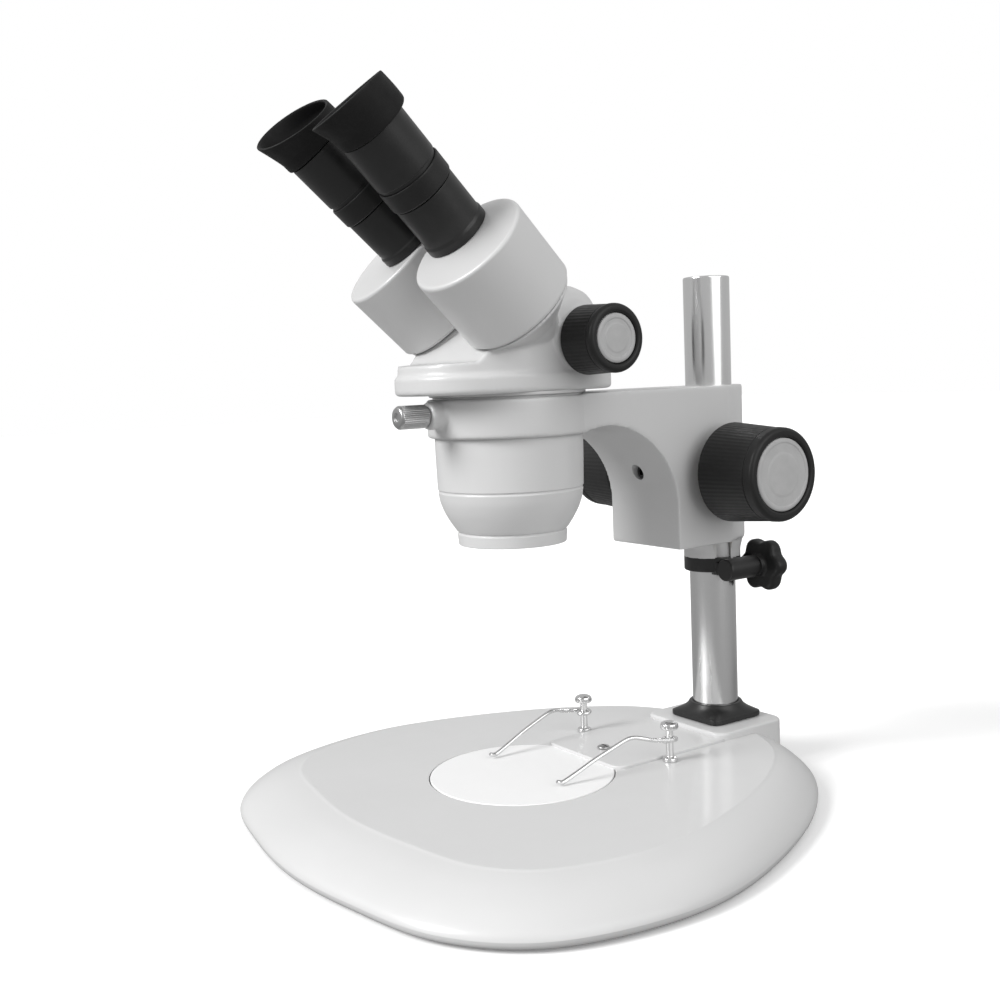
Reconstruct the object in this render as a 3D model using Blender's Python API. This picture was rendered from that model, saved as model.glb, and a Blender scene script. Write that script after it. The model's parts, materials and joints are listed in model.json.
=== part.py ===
"""Stereo zoom microscope on a pole stand.

Metres, +Z up. The user sits on the -Y side and looks along +Y, with +X to the right.
The origin is the centre of the base's footprint on the bench. Lengths below are written in
millimetres; "from the optical axis" means that y is counted from the vertical axis of the head.
"""
import math

import bmesh
import bpy
from mathutils import Matrix, Vector

MM = 0.001

# Driving dimensions, in millimetres, y from the optical axis.
BASE_HALF = [(0, -129), (46, -124.3), (95.5, -111.5), (129, -79.5), (142.5, -27), (136.5, 24),
             (109, 88), (73, 134), (33, 155), (0, 160)]
OPTICAL_Y = -(160 - 129) / 2          # centres the base's footprint on the origin
BASE_BOTTOM, BASE_TOP = 1.5, 21.8
BASE_WALL = 7.0
SKIRT_FRONT, SKIRT_REAR = 33.0, 20.0  # how far the sloping skirt runs in
PLATE_RADIUS, PLATE_TOP, PLATE_THICK = 46.3, 21.9, 3.6
POLE_Y, POLE_RADIUS, POLE_TOP = 135.0, 12.5, 269.6
BLOCK_HALF, BLOCK_FRONT, BLOCK_REAR, BLOCK_TOP = 30.0, 108.5, 158.5, 25.7
FLANGE_SIDE = 37.0
CLIP_X, CLIP_Y = 35.0, 68.0

COLLAR_BOTTOM, COLLAR_TOP, COLLAR_RADIUS = 107.0, 115.2, 15.5
LUG_X, LUG_Z, LUG_RADIUS = 20.5, 111.5, 6.0
SLEEVE_RADIUS, SLEEVE_TOP = 14.4, 203.5
ARM_HALF, ARM_FRONT, ARM_BOTTOM, ARM_TOP = 27.0, 86.0, 127.5, 211.0
BOSS_RADIUS = 18.0
RING_RADIUS, RING_BORE, RING_BOTTOM = 39.4, 36.7, 192.0
FOCUS_Y, FOCUS_Z = 116.5, 166.2
PINION_RADIUS = 6.0
RACK_REAR = POLE_Y - 1.2
CLAMP_Z = 203.5

HEAD_BOTTOM, HEAD_TOP = 213.5, 262.5
LEDGE_Z = 229.0                       # where the face under the housings meets the head's rim
NOSE_RADIUS, NOSE_BOTTOM = 36.4, 139.3
LENS_X = 11.5                         # half the distance between the two objectives
ZOOM_Y, ZOOM_Z = 18.4, 235.9
ROD_Y = -9.0
DRUM_TILT, DRUM_YAW = 43.2, 6.2       # degrees up from level, and outward
DRUM_FACE = (33.2, -42.2, 279.8)      # centre of the housing's top face, right side
DRUM_RADIUS, DRUM_LENGTH = 28.2, 39.6
EYE_OUT, EYE_UP = -12.3, 8.0          # eyepiece axis from the housing's axis, in its face
CUP_MIDDLE, CUP_SWING = 77.0, 4.3     # height of the eyecup's rim above the face, and its slant
CUP_PHASE = math.radians(30)          # turns the rim's highest point down from the outer side
TUBE_RADIUS, EYEPIECE_RADIUS = 15.2, 15.6

GAP = 0.3                             # between pieces that touch
MANY_CUTS = ("arm_casting", "head_casting")

for old in list(bpy.data.objects):
    bpy.data.objects.remove(old, do_unlink=True)


def at(x, y, z):
    """A point in metres from millimetres, y from the optical axis."""
    return Vector((x * MM, (y + OPTICAL_Y) * MM, z * MM))


# Materials -----------------------------------------------------------------

def material(name, colour, roughness, metallic=0.0, transmission=0.0):
    mat = bpy.data.materials.new(name)
    mat.use_nodes = True
    shader = mat.node_tree.nodes["Principled BSDF"]
    shader.inputs["Base Color"].default_value = (*colour, 1.0)
    shader.inputs["Roughness"].default_value = roughness
    shader.inputs["Metallic"].default_value = metallic
    shader.inputs["Transmission Weight"].default_value = transmission
    mat.diffuse_color = (*colour, 1.0)
    return mat


PAINT = material("grey_paint", (0.62, 0.62, 0.61), 0.38)
PAINT_ARM = material("arm_paint", (0.55, 0.55, 0.54), 0.40)
PLATE_WHITE = material("white_plate", (0.88, 0.88, 0.87), 0.30)
CHROME = material("chrome", (0.80, 0.80, 0.81), 0.12, 1.0)
STEEL = material("steel", (0.55, 0.55, 0.56), 0.30, 1.0)
BRASS = material("brass", (0.70, 0.55, 0.28), 0.35, 1.0)
BLACK = material("black_plastic", (0.030, 0.030, 0.032), 0.45)
BLACK_METAL = material("black_metal", (0.022, 0.022, 0.024), 0.35)
INSERT = material("insert_grey", (0.52, 0.52, 0.52), 0.40)
RUBBER = material("rubber", (0.018, 0.018, 0.018), 0.75)
GLASS = material("glass", (0.85, 0.90, 0.92), 0.03, 0.0, 0.9)
SHEET = material("sheet_steel", (0.25, 0.25, 0.26), 0.45, 0.8)


# Making meshes --------------------------------------------------------------

def body(name, origin):
    """An empty on a joint's axis, which carries the pieces of one moving body."""
    empty = bpy.data.objects.new("body_" + name, None)
    empty.location = origin
    bpy.context.scene.collection.objects.link(empty)
    return empty


def finish(name, bm, mat, parent=None, sharp=35.0):
    """Turns a bmesh in metres into an object with its normals facing out."""
    bmesh.ops.recalc_face_normals(bm, faces=bm.faces)
    mesh = bpy.data.meshes.new(name)
    bm.to_mesh(mesh)
    bm.free()
    mesh.shade_smooth()
    mesh.set_sharp_from_angle(angle=math.radians(sharp))
    mesh.materials.append(mat)
    obj = bpy.data.objects.new(name, mesh)
    bpy.context.scene.collection.objects.link(obj)
    if parent:
        obj.parent = parent
        obj.matrix_parent_inverse = Matrix.Translation(parent.location).inverted()
    return obj


def place(obj, origin, axis=(0, 0, 1)):
    """Puts a piece's own +Z on the axis and its origin at the point."""
    obj.rotation_euler = Vector((0, 0, 1)).rotation_difference(Vector(axis)).to_euler()
    obj.location = origin
    return obj


def skin(bm, rings, closed):
    """Joins rings of vertices; a ring of one vertex is a tip."""
    pairs = list(zip(rings, rings[1:]))
    if closed:
        pairs.append((rings[-1], rings[0]))
    for low, high in pairs:
        count = max(len(low), len(high))
        for i in range(count):
            j = (i + 1) % count
            if len(low) == 1:
                bm.faces.new((low[0], high[i], high[j]))
            elif len(high) == 1:
                bm.faces.new((low[i], high[0], low[j]))
            else:
                bm.faces.new((low[i], high[i], high[j], low[j]))
    if not closed:
        for ring in (rings[0], rings[-1]):
            if len(ring) > 1:
                bm.faces.new(ring)


def lathe(name, profile, mat, parent=None, origin=(0, 0, 0), axis=(0, 0, 1), closed=False,
          count=20, lobes=0, depth=0.0):
    """Turns (radius, height) points about +Z. Lobes wave the radii, as on a hand knob."""
    bm = bmesh.new()
    rings = []
    for radius, height in profile:
        if radius == 0:
            rings.append([bm.verts.new((0, 0, height * MM))])
            continue
        ring = []
        for i in range(count):
            a = 2 * math.pi * i / count
            wave = 1.0 - depth * (1 - math.cos(lobes * a)) / 2 if radius > LUG_RADIUS else 1.0
            r = radius * wave * MM
            ring.append(bm.verts.new((r * math.cos(a), r * math.sin(a), height * MM)))
        rings.append(ring)
    skin(bm, rings, closed)
    return place(finish(name, bm, mat, parent), origin, axis)


def loft(name, rings, mat, parent=None, closed=False):
    """Joins rings of points given in millimetres, y from the optical axis."""
    bm = bmesh.new()
    skin(bm, [[bm.verts.new(at(*p)) for p in ring] for ring in rings], closed)
    return finish(name, bm, mat, parent)


def box(name, low, high, mat, parent=None):
    """A plain block between two corners in millimetres, y from the optical axis."""
    bm = bmesh.new()
    bmesh.ops.create_cube(bm, size=1.0)
    size = [(h - l) * MM for l, h in zip(low, high)]
    middle = at(*[(l + h) / 2 for l, h in zip(low, high)])
    bmesh.ops.scale(bm, vec=size, verts=bm.verts)
    bmesh.ops.translate(bm, vec=middle, verts=bm.verts)
    return finish(name, bm, mat, parent)


def extrude(name, outline, low, high, mat, turn=None, parent=None):
    """Extrudes a flat outline from low to high; turn maps (a, b, height) to x, y, z."""
    turn = turn or (lambda a, b, height: (a, b, height))
    rings = [[turn(a, b, height) for a, b in outline] for height in (low, high)]
    return loft(name, rings, mat, parent)


def combine(target, tool, operation):
    """Adds a Boolean, and turns the tool into a hidden guide.

    The arm and the head have many cuts, which the exact solver leaves with open edges.
    """
    modifier = target.modifiers.new(operation.lower() + "_" + tool.name, "BOOLEAN")
    modifier.operation = operation
    modifier.solver = "MANIFOLD" if target.name in MANY_CUTS else "EXACT"
    modifier.object = tool
    tool.hide_render = True
    tool.display_type = "WIRE"
    return target


def join(target, *tools):
    for tool in tools:
        combine(target, tool, "UNION")


def cut(target, *tools):
    for tool in tools:
        combine(target, tool, "DIFFERENCE")


# Outlines --------------------------------------------------------------------

def smooth_loop(points, steps):
    """A closed Catmull-Rom curve through the points."""
    out = []
    count = len(points)
    for i in range(count):
        p0, p1, p2, p3 = (Vector(points[(i + k - 1) % count]) for k in range(4))
        for s in range(steps):
            t = s / steps
            out.append(0.5 * (2 * p1 + (p2 - p0) * t + (2 * p0 - 5 * p1 + 4 * p2 - p3) * t * t
                              + (3 * p1 - p0 - 3 * p2 + p3) * t ** 3))
    return out


def smooth_path(points, steps):
    """An open Catmull-Rom curve through the points."""
    ends = [points[0]] + list(points) + [points[-1]]
    out = []
    for i in range(1, len(ends) - 2):
        p0, p1, p2, p3 = (Vector(ends[i + k - 1]) for k in range(4))
        for s in range(steps):
            t = s / steps
            out.append(0.5 * (2 * p1 + (p2 - p0) * t + (2 * p0 - 5 * p1 + 4 * p2 - p3) * t * t
                              + (3 * p1 - p0 - 3 * p2 + p3) * t ** 3))
    out.append(Vector(points[-1]))
    return out


def rounded_rectangle(x_half, y_low, y_high, radius, corner=6):
    """A rectangle about x = 0 with round corners, counter-clockwise."""
    centres = [(x_half - radius, y_low + radius, -90), (x_half - radius, y_high - radius, 0),
               (radius - x_half, y_high - radius, 90), (radius - x_half, y_low + radius, 180)]
    points = []
    for cx, cy, start in centres:
        for k in range(corner + 1):
            a = math.radians(start + 90 * k / corner)
            points.append((cx + radius * math.cos(a), cy + radius * math.sin(a)))
    return points


def superellipse(x_half, front, rear, power=2.5, count=32):
    """A soft oval about x = 0 that reaches from -front to rear along y."""
    points = []
    for i in range(count):
        a = 2 * math.pi * i / count
        c, s = math.cos(a), math.sin(a)
        x = x_half * math.copysign(abs(c) ** (2 / power), c)
        y = (rear if s > 0 else front) * math.copysign(abs(s) ** (2 / power), s)
        points.append((x, y))
    return points


def base_outline(inset=0.0, share=0.0):
    """The base's outline, moved in by a length and by a share of the skirt's width."""
    mirrored = [(-x, y) for x, y in reversed(BASE_HALF[1:-1])]
    points = smooth_loop(BASE_HALF + mirrored, 3)
    front, rear = BASE_HALF[0][1], BASE_HALF[-1][1]
    moved = []
    for i, p in enumerate(points):
        along = (points[(i + 1) % len(points)] - points[i - 1]).normalized()
        skirt = SKIRT_FRONT + (SKIRT_REAR - SKIRT_FRONT) * (p.y - front) / (rear - front)
        distance = inset + share * skirt
        moved.append((p.x - along.y * distance, p.y + along.x * distance))
    return moved


def level(outline, z):
    return [(x, y, z) for x, y in outline]


# Stand -----------------------------------------------------------------------

def make_base():
    inner = [(0.85, 15.5), (0.50, 12.0), (0.0, 4.5), (0.0, BASE_BOTTOM)]
    outer = [(0.0, 2.4), (0.0, 4.8), (0.14, 10.2), (0.34, 14.6), (0.62, 18.8), (0.88, 21.3),
             (1.0, BASE_TOP)]
    rings = [level(base_outline(BASE_WALL, share), z) for share, z in inner]
    rings.append(level(base_outline(0.8), BASE_BOTTOM))
    rings += [level(base_outline(0.0, share), z) for share, z in outer]
    base = loft("base_casting", rings, PAINT)

    block = loft("block_guide", [
        level(rounded_rectangle(BLOCK_HALF + 1.5, BLOCK_FRONT - 2, BLOCK_REAR, 7), 4.6),
        level(rounded_rectangle(BLOCK_HALF, BLOCK_FRONT, BLOCK_REAR, 7), BLOCK_TOP - 1),
        level(rounded_rectangle(BLOCK_HALF - 0.9, BLOCK_FRONT + 0.9, BLOCK_REAR - 0.9, 6.5),
              BLOCK_TOP)], PAINT)
    step = loft("step_guide", [
        level(rounded_rectangle(BLOCK_HALF, 38, 113, 6), 18.6),
        level(rounded_rectangle(BLOCK_HALF, 38, 113, 6), 22.8),
        level(rounded_rectangle(BLOCK_HALF - 0.6, 38.6, 112.4, 5.5), 23.4)], PAINT)
    join(base, step, block)

    recess = [(0, 10), (36, 10), (36, PLATE_TOP - PLATE_THICK - GAP),
              (PLATE_RADIUS + 0.5, PLATE_TOP - PLATE_THICK - GAP), (PLATE_RADIUS + 0.5, 30), (0, 30)]
    cut(base, lathe("recess_guide", recess, PAINT, origin=at(0, 0, 0), count=32))
    for side in (-1, 1):
        hole = [(0, 8), (2.6, 8), (2.6, 30), (0, 30)]
        cut(base, lathe("clip_hole_guide", hole, PAINT, origin=at(side * CLIP_X, CLIP_Y, 0), count=16))
    screw_hole = [(0, 8), (2.4, 8), (2.4, 30), (0, 30)]
    cut(base, lathe("screw_hole_guide", screw_hole, PAINT, origin=at(0, 53, 0), count=16))
    bolt_hole = [(0, 1), (9, 1), (9, 12), (4.5, 12), (4.5, 30), (0, 30)]
    cut(base, lathe("bolt_hole_guide", bolt_hole, PAINT, origin=at(0, POLE_Y, 0), count=20))


def make_stand_fittings():
    under = base_outline(BASE_WALL + 0.5)
    loft("base_underplate", [level(under, 2.6), level(under, 3.8)], SHEET)
    for name, x, y in (("front_left", -80, -78), ("front_right", 80, -78),
                       ("rear_left", -62, 100), ("rear_right", 62, 100)):
        lathe("foot_" + name, [(0, 0), (9.4, 0), (10, 0.6), (11, 2.3), (0, 2.3)], RUBBER,
              origin=at(x, y, 0), count=20)

    low = PLATE_TOP - PLATE_THICK
    plate = [(0, low), (PLATE_RADIUS - 0.4, low), (PLATE_RADIUS, low + 0.4),
             (PLATE_RADIUS, PLATE_TOP - 0.4), (PLATE_RADIUS - 0.4, PLATE_TOP), (0, PLATE_TOP)]
    lathe("stage_plate", plate, PLATE_WHITE, origin=at(0, 0, 0), count=32)
    screw = [(0, 14), (2.1, 14), (2.1, 23.7), (3.2, 23.7), (3.2, 24.8), (2.6, 25.3), (0, 25.3)]
    lathe("plate_lock_screw", screw, STEEL, origin=at(0, 53, 0), count=16)

    seat = BLOCK_TOP + GAP
    half = FLANGE_SIDE / 2

    def flange_ring(radius, z, square=False):
        """A circle round the pole, or the flange's square with its corners cut off."""
        points = []
        for k in range(32):
            a = 2 * math.pi * k / 32
            c, s = math.cos(a), math.sin(a)
            r = min(half / max(abs(c), abs(s)), radius) if square else radius
            points.append((r * c, POLE_Y + r * s, z))
        return points

    hole = POLE_RADIUS + 0.5
    loft("pole_flange", [flange_ring(hole, seat), flange_ring(half * 1.32, seat, True),
                         flange_ring(half * 1.32, 28.4, True), flange_ring(16.5, 31.0),
                         flange_ring(14.4, 34.6), flange_ring(hole, 34.6)], BLACK_METAL, closed=True)
    pole = [(0, 52), (4.5, 52), (4.5, seat), (POLE_RADIUS, seat), (POLE_RADIUS, POLE_TOP - 0.9),
            (POLE_RADIUS - 0.9, POLE_TOP), (0, POLE_TOP)]
    lathe("pole", pole, CHROME, origin=at(0, POLE_Y, 0))
    bolt = [(0, 5), (7.5, 5), (7.5, 11.7), (4.1, 11.7), (4.1, 48), (0, 48)]
    lathe("pole_bolt", bolt, STEEL, origin=at(0, POLE_Y, 0), count=20)


def make_clip(name, side):
    """A post that turns in the base, and a spring wire that presses on the specimen."""
    turning = body("clip_" + name, at(side * CLIP_X, CLIP_Y, 0))
    post = [(0, 11), (2.3, 11), (2.3, 22.1), (3.8, 22.1), (3.6, 23.8), (1.9, 24), (1.9, 38.4),
            (4.6, 39.0), (4.2, 41.6), (0, 42.8)]
    lathe("clip_post_" + name, post, CHROME, turning, origin=at(side * CLIP_X, CLIP_Y, 0), count=16)

    wire_radius, coil_radius = 1.1, 3.3
    points = []
    for k in range(11):
        a = math.radians(300 - 30 * k)
        points.append((CLIP_X + coil_radius * math.cos(a), CLIP_Y + coil_radius * math.sin(a),
                       32.4 + 0.1 * k))
    points += [(36.6, 56, 35.4), (33.4, 46, 38.0), (32.6, 41, 37.6), (30.8, 22, 31.0),
               (29.2, 6, 24.4), (29.0, 3, 23.7), (28.8, 0, 24.6)]
    curve = bpy.data.curves.new("clip_wire_" + name, "CURVE")
    curve.dimensions = "3D"
    curve.bevel_depth = wire_radius * MM
    curve.bevel_resolution = 2
    curve.use_fill_caps = True
    curve.render_resolution_u = 0
    path = smooth_path([at(side * x, y, z) for x, y, z in points], 1)
    spline = curve.splines.new("POLY")
    spline.points.add(len(path) - 1)
    for point, p in zip(spline.points, path):
        point.co = (*p, 1.0)
    curve.materials.append(CHROME)
    wire = bpy.data.objects.new("clip_wire_" + name, curve)
    bpy.context.scene.collection.objects.link(wire)
    wire.parent = turning
    wire.matrix_parent_inverse = Matrix.Translation(turning.location).inverted()


# Arm and focus -----------------------------------------------------------------

def make_collar():
    """The split collar that holds the arm's height, and the screw that closes it."""
    sliding = body("collar", at(0, POLE_Y, COLLAR_BOTTOM))
    ring = [(POLE_RADIUS + GAP, COLLAR_BOTTOM), (COLLAR_RADIUS - 0.6, COLLAR_BOTTOM),
            (COLLAR_RADIUS, COLLAR_BOTTOM + 0.6), (COLLAR_RADIUS, COLLAR_TOP),
            (POLE_RADIUS + GAP, COLLAR_TOP)]
    collar = lathe("height_collar", ring, BLACK_METAL, sliding, origin=at(0, POLE_Y, 0), closed=True)
    lug = lathe("lug_guide", [(0, 124), (LUG_RADIUS - 0.5, 124), (LUG_RADIUS, 124.5),
                              (LUG_RADIUS, 145.5), (LUG_RADIUS - 0.5, 146), (0, 146)],
                BLACK_METAL, origin=at(LUG_X, 0, LUG_Z), axis=(0, 1, 0), count=20)
    web = box("web_guide", (8, 125, COLLAR_BOTTOM + 0.4), (LUG_X, 145, COLLAR_TOP - 0.4), BLACK_METAL)
    bore = lathe("collar_bore_guide", [(0, 90), (POLE_RADIUS + GAP, 90), (POLE_RADIUS + GAP, 130), (0, 130)],
                 BLACK_METAL, origin=at(0, POLE_Y, 0))
    slit = box("slit_guide", (5, POLE_Y - 0.8, 100), (40, POLE_Y + 0.8, 125), BLACK_METAL)
    stud_hole = lathe("stud_hole_guide", [(0, 126.5), (2.4, 126.5), (2.4, 160), (0, 160)],
                      BLACK_METAL, origin=at(LUG_X, 0, LUG_Z), axis=(0, 1, 0), count=16)
    join(collar, web, lug)
    cut(collar, bore, slit, stud_hole)

    turning = body("collar_screw", at(LUG_X, 0, LUG_Z))
    lathe("collar_stud", [(0, 127), (2.1, 127), (2.1, 155), (0, 155)], STEEL, turning,
          origin=at(LUG_X, 0, LUG_Z), axis=(0, 1, 0), count=16)
    knob = [(0, 155.4), (2.4, 155.4), (2.4, 146.6), (5.4, 146.6), (5.9, 149), (13.4, 149.6),
            (15, 151), (15, 155.8), (13.2, 158.8), (6, 159.6), (0, 159.6)]
    lathe("collar_knob", knob, BLACK, turning, origin=at(LUG_X, 0, LUG_Z), axis=(0, 1, 0), count=36,
          lobes=6, depth=0.16)


def make_sleeve():
    """The sleeve that swivels on the pole above the collar, with the focusing rack."""
    swivel = body("sleeve", at(0, POLE_Y, COLLAR_TOP))
    low = COLLAR_TOP + GAP
    tube = [(POLE_RADIUS + GAP, low), (SLEEVE_RADIUS, low), (SLEEVE_RADIUS, SLEEVE_TOP),
            (POLE_RADIUS + GAP, SLEEVE_TOP)]
    lathe("pole_sleeve", tube, STEEL, swivel, origin=at(0, POLE_Y, 0), closed=True)

    tip, root, back = FOCUS_Y + PINION_RADIUS + 0.4, FOCUS_Y + PINION_RADIUS + 2.1, RACK_REAR
    pitch = 2.5
    bottom, teeth = ARM_BOTTOM + 0.6, 30
    outline = [(back, bottom), (root, bottom)]
    for k in range(teeth):
        z = bottom + pitch * k
        outline += [(tip, z + 0.4 * pitch), (root, z + 0.9 * pitch)]
    outline.append((back, outline[-1][1]))
    extrude("focus_rack", outline, SLEEVE_RADIUS + GAP, 20.2, BRASS,
            lambda a, b, height: (height, a, b), swivel)


def arm_side():
    """The arm's side outline: level top, square back, and the arch under the arm."""
    arch_y, arch_z, arch_low = 38.0, 194.5, 150.0
    points = [(20, RING_BOTTOM + 1)]
    steps = 9
    for k in range(steps + 1):
        a = math.pi / 2 * (1 - k / steps)
        points.append((arch_y + (ARM_FRONT - arch_y) * math.cos(a),
                       arch_low + (arch_z - arch_low) * math.sin(a)))
    points += [(ARM_FRONT, ARM_BOTTOM + 1.5), (ARM_FRONT + 1.5, ARM_BOTTOM), (156, ARM_BOTTOM),
               (156, ARM_TOP), (20, ARM_TOP)]
    return points


def arm_plan():
    """The arm seen from above: from the ring's width to flat cheeks, then round the pole."""
    corner = 124.0
    reach = math.hypot(ARM_HALF, POLE_Y - corner)
    start = math.acos(BOSS_RADIUS / reach) - math.atan2(POLE_Y - corner, ARM_HALF)
    half = [(35, 17), (31.5, 29), (28.6, 43), (ARM_HALF, 60), (ARM_HALF, corner)]
    steps = 6
    for k in range(steps):
        a = start + (math.pi / 2 - start) * k / steps
        half.append((BOSS_RADIUS * math.cos(a), POLE_Y + BOSS_RADIUS * math.sin(a)))
    half.append((0, POLE_Y + BOSS_RADIUS))
    return half + [(-x, y) for x, y in reversed(half[:-1])]


def make_arm():
    """The casting that carries the head, with the neck round the pole and the focus boss."""
    moving = body("arm", at(0, FOCUS_Y, FOCUS_Z))
    arm = extrude("arm_casting", arm_side(), -45, 45, PAINT_ARM,
                  lambda a, b, height: (height, a, b), moving)
    combine(arm, extrude("plan_guide", arm_plan(), 120, 220, PAINT_ARM), "INTERSECT")

    ring = lathe("ring_guide", [(0, RING_BOTTOM), (RING_RADIUS - 0.6, RING_BOTTOM),
                                (RING_RADIUS, RING_BOTTOM + 0.6), (RING_RADIUS, ARM_TOP - 1.6),
                                (RING_RADIUS - 1.2, ARM_TOP - 0.4), (0, ARM_TOP - 0.4)],
                 PAINT_ARM, origin=at(0, 0, 0), count=32)
    neck = lathe("neck_guide", [(0, 115.6), (15.5, 115.6), (15.5, 121), (16.6, 125),
                                (BOSS_RADIUS - 0.2, 133), (BOSS_RADIUS - 0.2, 140), (0, 140)],
                 PAINT_ARM, origin=at(0, POLE_Y, 0), count=20)
    boss = lathe("boss_guide", [(0, -33.5), (14, -33.5), (15, -32.5), (15, 32.5), (14, 33.5), (0, 33.5)],
                 PAINT_ARM, origin=at(0, FOCUS_Y, FOCUS_Z), axis=(1, 0, 0))
    clamp = lathe("clamp_guide", [(0, 36), (6.6, 36), (6.6, 45.6), (5.8, 46.4), (0, 46.4)],
                  PAINT_ARM, origin=at(0, 0, CLAMP_Z), axis=(0, -1, 0), count=20)
    join(arm, ring, neck, boss, clamp)

    ledge = SLEEVE_TOP + 1.0
    bore = SLEEVE_RADIUS + GAP
    cut(arm,
        lathe("ring_bore_guide", [(0, 180), (RING_BORE, 180), (RING_BORE, 220), (0, 220)],
              PAINT_ARM, origin=at(0, 0, 0), count=32),
        lathe("pole_bore_guide", [(0, 100), (bore, 100), (bore, ledge), (POLE_RADIUS + 0.5, ledge),
                                  (POLE_RADIUS + 0.5, 220), (0, 220)],
              PAINT_ARM, origin=at(0, POLE_Y, 0)),
        box("rack_slot_guide", (12, FOCUS_Y + PINION_RADIUS, 100), (20.6, RACK_REAR + GAP, ledge - 0.4),
            PAINT_ARM),
        lathe("shaft_bore_guide", [(0, -40), (8.3, -40), (8.3, -22), (2.9, -22), (2.9, 13), (6.7, 13),
                                   (6.7, 22), (8.3, 22), (8.3, 40), (0, 40)],
              PAINT_ARM, origin=at(0, FOCUS_Y, FOCUS_Z), axis=(1, 0, 0), count=20),
        lathe("front_hole_guide", [(0, 70), (4.3, 70), (4.3, 100), (0, 100)],
              PAINT_ARM, origin=at(0, 0, FOCUS_Z + 1), axis=(0, 1, 0), count=20),
        lathe("clamp_hole_guide", [(0, 30), (2.3, 30), (2.3, 60), (0, 60)],
              PAINT_ARM, origin=at(0, 0, CLAMP_Z), axis=(0, -1, 0), count=16))

    lathe("arm_set_screw", [(0, 87.2), (3.2, 87.2), (4.0, 88), (4.0, 99.5), (0, 99.5)], BLACK_METAL,
          moving, origin=at(0, 0, FOCUS_Z + 1), axis=(0, 1, 0), count=20)
    for name, side in (("left", -1), ("right", 1)):
        bush = [(2.8, 22.3), (8.0, 22.3), (8.0, 34.2), (2.8, 34.2)]
        lathe("focus_bush_" + name, bush, BRASS, moving, origin=at(0, FOCUS_Y, FOCUS_Z),
              axis=(side, 0, 0), closed=True, count=20)

    turning = body("ring_screw", at(0, 0, CLAMP_Z))
    screw = [(0, 36.9), (2.0, 36.9), (2.0, 46.8), (4.9, 46.8), (5.5, 47.4), (5.5, 61.6), (4.7, 62.6),
             (0, 62.6)]
    lathe("ring_clamp_screw", screw, STEEL, turning, origin=at(0, 0, CLAMP_Z), axis=(0, -1, 0), count=20)


def make_pinion_shaft(name, y, z, radius, half_length, pinion_radius, pinion_low, pinion_high, parent):
    """A shaft along X with its pinion cut from the same bar."""
    profile = [(0, -half_length), (radius, -half_length), (radius, pinion_low),
               (pinion_radius, pinion_low), (pinion_radius, pinion_high), (radius, pinion_high),
               (radius, half_length), (0, half_length)]
    bm = bmesh.new()
    teeth = 12
    count = 2 * teeth
    rings = []
    for r, height in profile:
        if r == 0:
            rings.append([bm.verts.new((0, 0, height * MM))])
            continue
        ring = []
        for i in range(count):
            a = 2 * math.pi * i / count
            low = r == pinion_radius and i % 2
            reach = (r - 1.5) * MM if low else r * MM
            ring.append(bm.verts.new((reach * math.cos(a), reach * math.sin(a), height * MM)))
        rings.append(ring)
    skin(bm, rings, False)
    shaft = finish(name, bm, STEEL, parent)
    place(shaft, at(0, y, z), (1, 0, 0))


def make_knob(name, side, y, z, inner, outer, radius, taper, insert, bore, parent):
    """A turned hand knob on a shaft along X, with a light insert in its face."""
    edge = radius - taper
    profile = [(bore, inner), (radius - 1.6, inner), (radius, inner + 1.6), (edge, outer - 1.6),
               (edge - 1.4, outer), (insert + GAP, outer), (insert + GAP, outer - 3.0),
               (bore, outer - 3.0)]
    lathe(name, profile, BLACK, parent, origin=at(0, y, z), axis=(side, 0, 0), closed=True)
    disc = [(0, outer - 2.7), (insert, outer - 2.7), (insert - 0.3, outer - 0.5), (0, outer - 0.5)]
    lathe(name.replace("knob", "insert"), disc, INSERT, parent, origin=at(0, y, z), axis=(side, 0, 0),
          count=20)


def make_focus_drive():
    drive = body("focus_drive", at(0, FOCUS_Y, FOCUS_Z))
    make_pinion_shaft("focus_pinion_shaft", FOCUS_Y, FOCUS_Z, 2.5, 67.5, PINION_RADIUS, 14.8, 20.2, drive)
    for name, side in (("left", -1), ("right", 1)):
        make_knob("focus_knob_" + name, side, FOCUS_Y, FOCUS_Z, 35.2, 71.2, 26.3, 2.7, 18.4, 2.8, drive)


# Head --------------------------------------------------------------------------

def drum_frame(side):
    """Base centre and the axes of one prism housing: out, up its face, and along its axis."""
    tilt, yaw = math.radians(DRUM_TILT), math.radians(DRUM_YAW)
    along = Vector((side * math.sin(yaw) * math.cos(tilt), -math.cos(yaw) * math.cos(tilt),
                    math.sin(tilt)))
    out = Vector((side * math.cos(yaw), math.sin(yaw), 0))
    up = along.cross(out) * side
    face = at(side * DRUM_FACE[0], DRUM_FACE[1], DRUM_FACE[2])
    return face - along * DRUM_LENGTH * MM, out, up, along


def head_level(inset, lower=0.0):
    """Rings of the head casting from its flat underside to its rounded top."""
    sizes = [(37.4, 54.4, 51.8, HEAD_BOTTOM), (38.6, 55.8, 53.2, 214.7), (38.6, 55.8, 53.2, 222.0),
             (37.6, 54.6, 52.2, 223.2), (37.0, 53.2, 50.8, 230.5), (35.6, 49.0, 49.0, 241.0),
             (33.4, 44.0, 45.6, 252.5), (30.4, 39.0, 41.0, 259.0), (25.0, 31.0, 34.5, HEAD_TOP)]
    return [level(superellipse(x - inset, front - inset, rear - inset), z - lower)
            for x, front, rear, z in sizes]


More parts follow.
